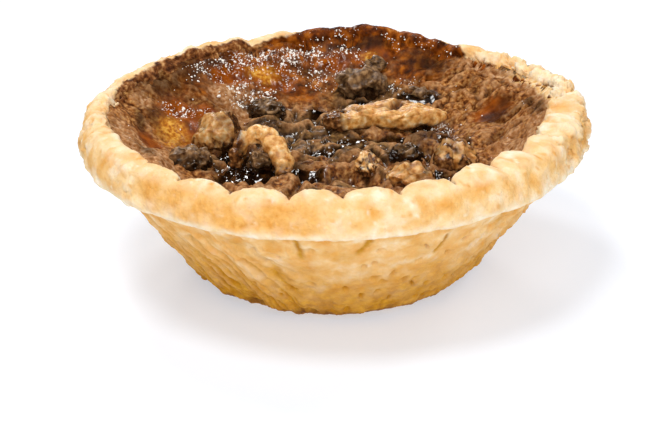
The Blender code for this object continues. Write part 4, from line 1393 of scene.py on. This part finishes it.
# %% The walnut lobes
def make_walnut(name, cover_height, skin_side, downward_darkening):
    """A walnut lobe from its solid's own form. Its coats are as in WALNUT_COATS."""
    centre = np.array(ROUNDED_PIECES[name][0])
    points = rounded_form(name, BALL_POINTS)
    seed = int(abs(centre[0]))
    direction = outward(points, BALL_FACES)
    grooves = creases(points + 0.8 * ripple(points, 2.0, seed)[:, None], 3.3, seed)
    grain = ripple(points, 0.6, seed + 3)
    skinned = ease(direction @ np.array(skin_side) + 0.9 * ripple(points, 1.8, seed + 6) + 0.1)
    points = points + direction * (0.52 * ease(grooves * 1.2) - 0.34 + 0.07 * grain)[:, None]
    points += centre
    # Darker where the lobe faces down
    downward_side = 0.5 + 0.5 * ease(1.0 - 1.5 * direction[:, 2] + 1.1 * ripple(points, 2.2, seed + 7))
    cover = np.max([syrup_cover(points, 20.3, cover_height, seed), skinned, downward_darkening * downward_side], axis=0)
    stored = {"cover": cover, "groove": ease(0.55 - grooves * 1.3)}
    return make_piece(name + "_nut", points * MM + FRAME_SHIFT, BALL_FACES, stored, "walnut", [name])


# How far syrup climbs each lobe in mm, the side that the filling's skin covers, and how much darker
# the rest is where it faces down
WALNUT_COATS = {
    "walnut_left": (3.0, (1.5, 0.2, -0.1), 0.7),
    "walnut_front": (3.6, (1.6, 0.3, 0.0), 0.2),
    "walnut_front_right": (1.2, (0.7, 0.0, 0.0), 0.15),
    "walnut_right": (3.8, (0.2, 0.6, 0.7), 0.25),
}
walnuts = [make_walnut(name, *coat) for name, coat in WALNUT_COATS.items()]
print("walnut lobes:", len(walnuts))

# %% [markdown]
# ## The flat walnut piece
# The pale piece in the middle is a broken walnut half, lying flat: a lobed outline, a thick rounded front
# lip and a torn notch. It could be modelled from a plane with a thickness. It is the same lobed and
# flattened ball as in the solid instead, with its outline's waves as a formula, and the tears are grooves at
# named places.

# %% The flat walnut: its form
PLATE_CENTRE = (8.7, 12.8, 21.3)
PLATE_HALF = (8.9, 5.0, 1.9)
PLATE_TURN = 4
PLATE_LOBES = ((2, 0.10, 0.3), (3, 0.16, 1.9), (5, 0.09, 0.8))
PLATE_FOLDS = (2.4, 1.8, 3.7)
PLATE_FOLD_DEPTH = 0.35
PLATE_FLATNESS = 0.8
PLATE_TOP_FLATNESS = 0.42  # the fine surface has a flatter top and crisper edges than the solid
PLATE_TEARS = (  # middle and half sizes in mm, turn in degrees and depth in mm
    (2.4, 1.4, 2.0, 0.75, 62, 2.0),
    (-4.6, 0.6, 1.6, 0.6, 100, 0.9),
    (0.5, 0.4, 3.8, 0.30, 6, 0.5),
)

outline_angle = np.arctan2(BALL_POINTS[:, 1], BALL_POINTS[:, 0])
outline = 1 + sum(depth * np.cos(waves * outline_angle + phase) for waves, depth, phase in PLATE_LOBES)
plate = BALL_POINTS * np.column_stack([outline, outline, np.ones(len(outline))])
fold_places = [(a * PLATE_FOLDS[0], b * PLATE_FOLDS[1], PLATE_FOLDS[2]) for a, b in plate[:, :2]]
folds = [noise.noise(Vector(fold_place)) for fold_place in fold_places]
flatness = np.where(plate[:, 2] > 0, PLATE_TOP_FLATNESS, PLATE_FLATNESS)
rounding = np.sign(plate[:, 2]) * np.abs(plate[:, 2]) ** flatness
plate[:, 2] = (1 + PLATE_FOLD_DEPTH * np.array(folds)) * rounding
plate = plate * PLATE_HALF
print("the flat walnut's plain form is", np.round(np.ptp(plate, axis=0), 1), "mm")

# %% The flat walnut: grooves, tears and coats
plate_grooves = creases(plate * (0.5, 1.0, 1.0) + 0.5 * ripple(plate, 2.2, 4)[:, None], 1.7, 5)
plate_grain = ripple(plate, 0.42, 6)
plate_lift = 0.30 * ease(plate_grooves * 1.4) - 0.25 + 0.12 * plate_grain + 0.40 * ripple(plate, 2.6, 17)
tear = np.zeros(len(plate))
for *tear_place, depth in PLATE_TEARS:
    away = ellipse_distance(plate[:, 0] * MM, plate[:, 1] * MM, *tear_place)
    tear = np.maximum(tear, np.exp(-(away**2)) * depth)
plate = plate + outward(plate, BALL_FACES) * plate_lift[:, None]
plate[:, 2] -= tear * (plate[:, 2] > 0)
front_lip = ease((-plate[:, 1] - 1.2) / 1.6) * ease(plate[:, 2] + 0.6)
plate[:, 2] += front_lip * (0.45 + 0.9 * ripple(plate, 2.0, 18))
spin = np.array(Matrix.Rotation(math.radians(PLATE_TURN), 3, "Z"))
plate = plate @ spin.T + PLATE_CENTRE
plate_cover = syrup_cover(plate, 20.4, 0.9, 11)
left_end = ease((3.2 - plate[:, 0]) / 2.0 + 1.2 * ripple(plate, 1.8, 14))
far_edge = 0.8 * ease((plate[:, 1] - 15.4) / 1.4 + 1.5 * ripple(plate, 1.5, 15))
blotches = 0.55 * ease(ripple(plate, 1.6, 16) * 2.6 - 0.45)
plate_cover = np.clip(np.max([plate_cover, left_end, far_edge, blotches], axis=0), 0, 1)
# The tears are painted dark as well, as painted shade in the torn notch
plate_stored = {"cover": plate_cover, "groove": np.clip(ease(0.5 - plate_grooves) * 0.6 + tear, 0, 1)}
plate_points = plate * MM + FRAME_SHIFT
plate_mesh = (plate_points, BALL_FACES, plate_stored)
walnuts.append(make_piece("walnut_centre_nut", *plate_mesh, "walnut", ["walnut_centre"]))
print("the flat walnut is", np.round(np.ptp(plate, axis=0), 1), "mm")

# %% [markdown]
# ## The curled walnut piece
# On the left a curled piece stands on both its ends over a dark hollow. A curve with a round bevel follows
# its line, as it does in the solid. The curve is turned into a mesh with close rings, so that its surface
# can have the same lobes and grain as the other nuts.

# %% The curled walnut: a bevelled curve
ARCH_LINE = (
    (-16.7, -4.7, 19.9),
    (-16.2, -4.1, 21.9),
    (-14.9, -3.1, 24.0),
    (-12.8, -2.4, 24.8),
    (-10.6, -3.2, 24.5),
    (-8.9, -4.8, 23.3),
    (-7.9, -6.6, 21.6),
    (-7.5, -8.2, 19.6),
)
ARCH_RADIUS = 1.25 * MM
ARCH_THICKNESS = (0.8, 0.95, 1.05, 1.1, 1.15, 1.1, 1.05, 0.9)
ARCH_RINGS = 90

places = np.linspace(0, len(ARCH_LINE) - 1, ARCH_RINGS)
whole = np.arange(len(ARCH_LINE))
curve = bpy.data.curves.new("walnut arch line", "CURVE")
curve.dimensions = "3D"
curve.bevel_depth = ARCH_RADIUS
curve.bevel_resolution = 10
curve.use_fill_caps = True
line = curve.splines.new("POLY")
line.points.add(ARCH_RINGS - 1)
for number, share in enumerate(places):
    place = [np.interp(share, whole, [point[axis] for point in ARCH_LINE]) * MM for axis in range(3)]
    line.points[number].co = (*place, 1)
    line.points[number].radius = np.interp(share, whole, ARCH_THICKNESS)
drawn = bpy.data.objects.new("walnut arch line", curve)
bpy.context.scene.collection.objects.link(drawn)
bpy.context.view_layer.update()
swept = bpy.data.meshes.new_from_object(drawn.evaluated_get(bpy.context.evaluated_depsgraph_get()))
bpy.data.objects.remove(drawn)
welded = bmesh.new()
welded.from_mesh(swept)
bmesh.ops.remove_doubles(welded, verts=welded.verts, dist=0.001 * MM)
bmesh.ops.triangulate(welded, faces=welded.faces)
even_out = {"factor": 0.5, "use_axis_x": True, "use_axis_y": True, "use_axis_z": True}
bmesh.ops.smooth_vert(welded, verts=welded.verts, **even_out)
arch = np.array([vertex.co for vertex in welded.verts]) / MM
arch_faces = [[vertex.index for vertex in face.verts] for face in welded.faces]
welded.free()
print("the curled walnut's surface has", len(arch), "points")

# %% The curled walnut: lobes and coats
arch_grooves = creases(arch + 0.5 * ripple(arch, 1.6, 7)[:, None], 2.1, 8)
arch_lift = 0.35 * ease(arch_grooves * 1.5) - 0.12 + 0.60 * ripple(arch, 1.9, 9)
arch_lift += 0.09 * ripple(arch, 0.5, 10)
arch_way = outward(arch, arch_faces)
arch_inside = ease(-arch_way[:, 0] - 0.4 * arch_way[:, 2]) * ease((arch[:, 0] + 12.5) / 2)
arch_outside = ease(arch_way[:, 0] * 1.4) * ease((arch[:, 0] + 11.5) / 2)
arch_lift += 1.0 * arch_inside - 0.3 * arch_outside  # its right leg is broad inside and slender outside
arch = arch + arch_way * arch_lift[:, None]
arch_dark = ease((-14.4 - arch[:, 0] + 1.4 * ripple(arch, 1.6, 12)) / 1.2)
far_side = 0.8 * ease(arch_way[:, 1] * 2.0 - 0.5)
arch_cover = np.max([syrup_cover(arch, 20.2, 1.8, 13), arch_dark, far_side], axis=0)
arch_stored = {"cover": arch_cover, "groove": ease(0.4 - arch_grooves)}
arch_points = arch * MM + FRAME_SHIFT
arch_mesh = (arch_points, arch_faces, arch_stored)
walnuts.append(make_piece("walnut_arch_nut", *arch_mesh, "walnut", ["walnut_arch"]))
print("the curled walnut is", np.round(np.ptp(arch, axis=0), 1), "mm")

# %% [markdown]
# ## Toasted walnut
# A toasted walnut is pale gold inside, tan where its thin papery skin is left, and dark in the creases where
# syrup collects. It is matt with an oily sheen. The syrup that covers its foot is a second look in the same
# shader, chosen by the stored cover.


# %% The material of the walnuts
# Toasted, skinned in places and broken: pale gold and matt with an oily sheen, and dark in its creases
walnut_look, tree, shader, place = new_material("toasted walnut")
WALNUT_LOOKS = (
    ("", 1.0, ((0.31, "#a5641f"), (0.44, "#d49448"), (0.57, "#ecba73"), (0.72, "#fae0b0"))),
    ("groove", 0.6, ((0.35, "#4a250b"), (0.65, "#8f5a26"))),
    ("cover", 0.9, ((0.32, "#1e0d04"), (0.46, "#4f2b10"), (0.58, "#84552a"), (0.70, "#b98c5a"))),
)
coated = add_node(tree, "Attribute", output="Fac", attribute_name="cover")
# A nut's own grain is about 0.1 mm, too fine to show, so it is drawn four times as coarse
nut_grain = add_node(tree, "TexNoise", {"Vector": place, "Scale": 1 / (0.38 * MM), "Detail": 4.0})
toasted = {
    "Base Color": layered_colour(tree, place, WALNUT_LOOKS),
    "Roughness": add_node(tree, "MapRange", {"Value": coated, "To Min": 0.46, "To Max": 0.24}),
    "IOR": 1.47,
    "Subsurface Weight": 0.12,
    "Subsurface Radius": (1.0, 0.5, 0.2),
    "Subsurface Scale": 0.6 * MM,
    "Normal": add_node(tree, "Bump", {"Height": nut_grain, "Distance": 0.10 * MM}),
}
fill(tree, shader, toasted)
for piece in walnuts:
    piece.data.materials.append(walnut_look)
print("pieces of walnut:", [piece.name for piece in walnuts])

# %% [markdown]
# ## Raisins
# Raisins swell in the oven and shrink again, which leaves them near black, with deep soft wrinkles. Here
# they wear a dusty coat of dried froth on top and shine where it is missing. A cloth simulation could
# wrinkle a skin over them. It is simpler to make them like the walnut lobes, with deeper wrinkles and a
# softer grain.

# %% The raisins
# How much more dried froth these wear than the others
DUSTED = {"raisin_under_arch": 0.4, "raisin_back": 0.2, "raisin_centre": 0.3, "raisin_left": 0.3}


def make_raisin(name):
    """A raisin from its solid's own form, with wrinkles and a coat of froth on its upper side."""
    centre, (_, _, half_height), *_ = ROUNDED_PIECES[name]
    points = rounded_form(name, BALL_POINTS)
    seed = int(abs(centre[1])) + 40
    wrinkles = creases(points + 0.9 * ripple(points, 2.0, seed)[:, None], 2.7, seed)
    fine = ripple(points, 1.0, seed + 2)
    wrinkle_lift = 0.55 * ease(wrinkles * 1.2) - 0.33 + 0.07 * fine
    points = points + outward(points, BALL_FACES) * wrinkle_lift[:, None]
    points += np.array(centre)
    upper = (points[:, 2] - 20.4) / max(1.0, half_height)
    patches = 1.1 * ripple(points, 1.9, seed + 4) + 0.5 * ripple(points, 0.6, seed + 5)
    dust = ease(DUSTED.get(name, 0) + upper * 0.9 + patches - 0.22)
    stored = {"dust": dust, "groove": ease(0.5 - wrinkles)}
    return make_piece(name + "_fruit", points * MM + FRAME_SHIFT, BALL_FACES, stored, "raisin", [name])


raisins = [make_raisin(name) for name in ROUNDED_PIECES if name.startswith("raisin")]
print("raisins:", len(raisins), "with", len(BALL_FACES), "triangles each")


# %% The material of the raisins
# Dried in the sun, swollen in hot syrup and shrunk again: near black and glossy, and dull under the froth
raisin_look, tree, shader, place = new_material("glazed raisin skin")
RAISIN_LOOKS = (
    ("", 1.2, ((0.35, "#0b0401"), (0.58, "#241105"), (0.75, "#4c2c12"))),
    ("dust", 0.8, ((0.32, "#442b16"), (0.48, "#745434"), (0.66, "#a68054"))),
    ("groove", 0.6, ((0.35, "#0c0502"), (0.65, "#261309"))),
)
dusted = add_node(tree, "Attribute", output="Fac", attribute_name="dust")
# The skin's finest wrinkles are about 0.1 mm, too fine to show, so they are drawn four times as coarse
skin_grain = add_node(tree, "TexNoise", {"Vector": place, "Scale": 1 / (0.4 * MM), "Detail": 4.0})
glazed = {
    "Base Color": layered_colour(tree, place, RAISIN_LOOKS),
    "Roughness": add_node(tree, "MapRange", {"Value": dusted, "To Min": 0.14, "To Max": 0.45}),
    "IOR": 1.46,
    "Normal": add_node(tree, "Bump", {"Height": skin_grain, "Distance": 0.07 * MM}),
}
fill(tree, shader, glazed)
for piece in raisins:
    piece.data.materials.append(raisin_look)
print("raisins:", [piece.name for piece in raisins])

# %% [markdown]
# ## Dried froth, white as painted glints
# At the back the boiling syrup left froth that dried to specks a few tenths of a millimetre wide. The
# specks are coloured near white as painted glints, standing for the white sparks of light on the wet froth.
# A particle system could scatter them, but its specks would not be part of the mesh. So they are real
# bits in one joined mesh: many small uneven balls, pressed into the surface where the froth mask is high.

# %% Places for the specks
# All specks are coloured near white as painted glints, also those on the film over the crest
SPECK_COUNT = 1400
STRAY_COUNT = 240
CREST_COUNT = 150  # on the film that ran over the crest at the back
SPECK_SIZE = 0.11 * MM
speck_random = np.random.default_rng(21)
top_points = filling_points[: len(top)]
threads = ease(1 - creases(flat, 1.1 * MM, 61) / 0.3) + 0.5 * ease(1 - creases(flat, 0.7 * MM, 62) / 0.2)
clump = (0.16 + threads) * (0.25 + ease(ripple(flat, 2.6 * MM, 63) * 2.8 + 0.5))
froth_and_glint_weight = froth_zone * clump * (radius < 37 * MM) * (1 - 0.6 * amber)
stray_weight = (0.15 + wet + 0.5 * grey) * clump * (radius < 35 * MM)
speck_places = np.concatenate(
    [
        speck_random.choice(len(top), SPECK_COUNT, p=froth_and_glint_weight / froth_and_glint_weight.sum()),
        speck_random.choice(len(top), STRAY_COUNT, p=stray_weight / stray_weight.sum()),
    ]
)
thick_froth = froth_and_glint_weight > froth_and_glint_weight.max() / 4
print("froth is thickest on", round(float(thick_froth.mean()), 3), "of the top")


# %% Many small uneven balls in one mesh
def scattered(name, centres, sizes, level, random, slot):
    """One mesh of many small uneven balls, each squashed and turned its own way."""
    ball, faces = unit_ball(level)
    faces = np.array(faces)
    all_points, all_faces = [], []
    for number, (centre, size) in enumerate(zip(centres, sizes)):
        stretch = random.uniform(0.55, 1.35, 3)
        rotation = np.array(Euler(random.uniform(0, 2 * math.pi, 3)).to_matrix())
        all_points.append((ball * stretch * size) @ rotation.T + centre)
        all_faces.append(faces + number * len(ball))
    return make_piece(name, np.vstack(all_points), np.vstack(all_faces).tolist(), {}, slot, [])


crest_clump = 0.1 + ease(ripple(case_points, 3 * MM, 64) * 3)
crest_weight = back * syrup * is_outside * (plain_radius < 39.6 * MM) * crest_clump
crest_places = speck_random.choice(len(case_points), CREST_COUNT, p=crest_weight / crest_weight.sum())
speck_centres = np.vstack([top_points[speck_places], all_points[crest_places]])
speck_sizes = speck_random.lognormal(math.log(SPECK_SIZE / MM), 0.35, len(speck_centres)) * MM
speck_sizes = np.clip(speck_sizes, 0.06 * MM, 0.36 * MM)
specks = scattered("dried_froth_and_painted_glints", speck_centres, speck_sizes, 1, speck_random, "syrup")
print("the largest speck is", round(float(2 * speck_sizes.max() / MM), 2), "mm wide")


# %% The material of the froth
# Sugar foam that dried in the oven: tiny beads, coloured near white as painted glints, that also flash where
# a lamp is mirrored
froth_and_glint_look, tree, shader, place = new_material("dried sugar froth with painted glints")
fill(tree, shader, {"Base Color": paint("#fff9ee"), "Roughness": 0.12, "IOR": 1.55})
specks.data.materials.append(froth_and_glint_look)
print("specks of froth:", len(speck_centres), "with", len(specks.data.polygons), "triangles")

# %% [markdown]
# ## Loose bits of broken skin
# In the middle a few crumbs of the skin broke off and lie on the folds, with black gaps under them. A height
# for every place can't overhang, so these are loose pieces, half sunk in the filling.

# %% The loose bits
RUBBLE_COUNT = 16
rubble_random = np.random.default_rng(33)
rubble_weight = middle * (0.15 + ridge) * (1 - wet) * (radius < 25 * MM)
rubble_places = rubble_random.choice(len(top), RUBBLE_COUNT, p=rubble_weight / rubble_weight.sum())
rubble_sizes = rubble_random.uniform(0.3, 0.6, RUBBLE_COUNT) * MM
rubble_piece = scattered("skin_rubble", top_points[rubble_places], rubble_sizes, 2, rubble_random, "syrup")
# The skin of the syrup, dried and snapped: dull brown, and paler where it broke
rubble_look, tree, shader, place = new_material("broken syrup skin")
RUBBLE_LOOKS = (("", 0.7, ((0.3, "#26140a"), (0.45, "#5f4222"), (0.6, "#8c6438"), (0.75, "#b8915f"))),)
# The grain is drawn four times as coarse as the real one, which is too fine to show
rubble_grain = add_node(tree, "TexNoise", {"Vector": place, "Scale": 1 / (0.4 * MM), "Detail": 4.0})
snapped = {
    "Base Color": layered_colour(tree, place, RUBBLE_LOOKS),
    "Roughness": 0.34,
    "Normal": add_node(tree, "Bump", {"Height": rubble_grain, "Distance": 0.25 * MM}),
}
fill(tree, shader, snapped)
rubble_piece.data.materials.append(rubble_look)
print("pieces of rubble:", RUBBLE_COUNT)

# %% [markdown]
# ## The size of what shows
# The case's points were kept inside the imported model's box when it was made, so no crag stands out of it.
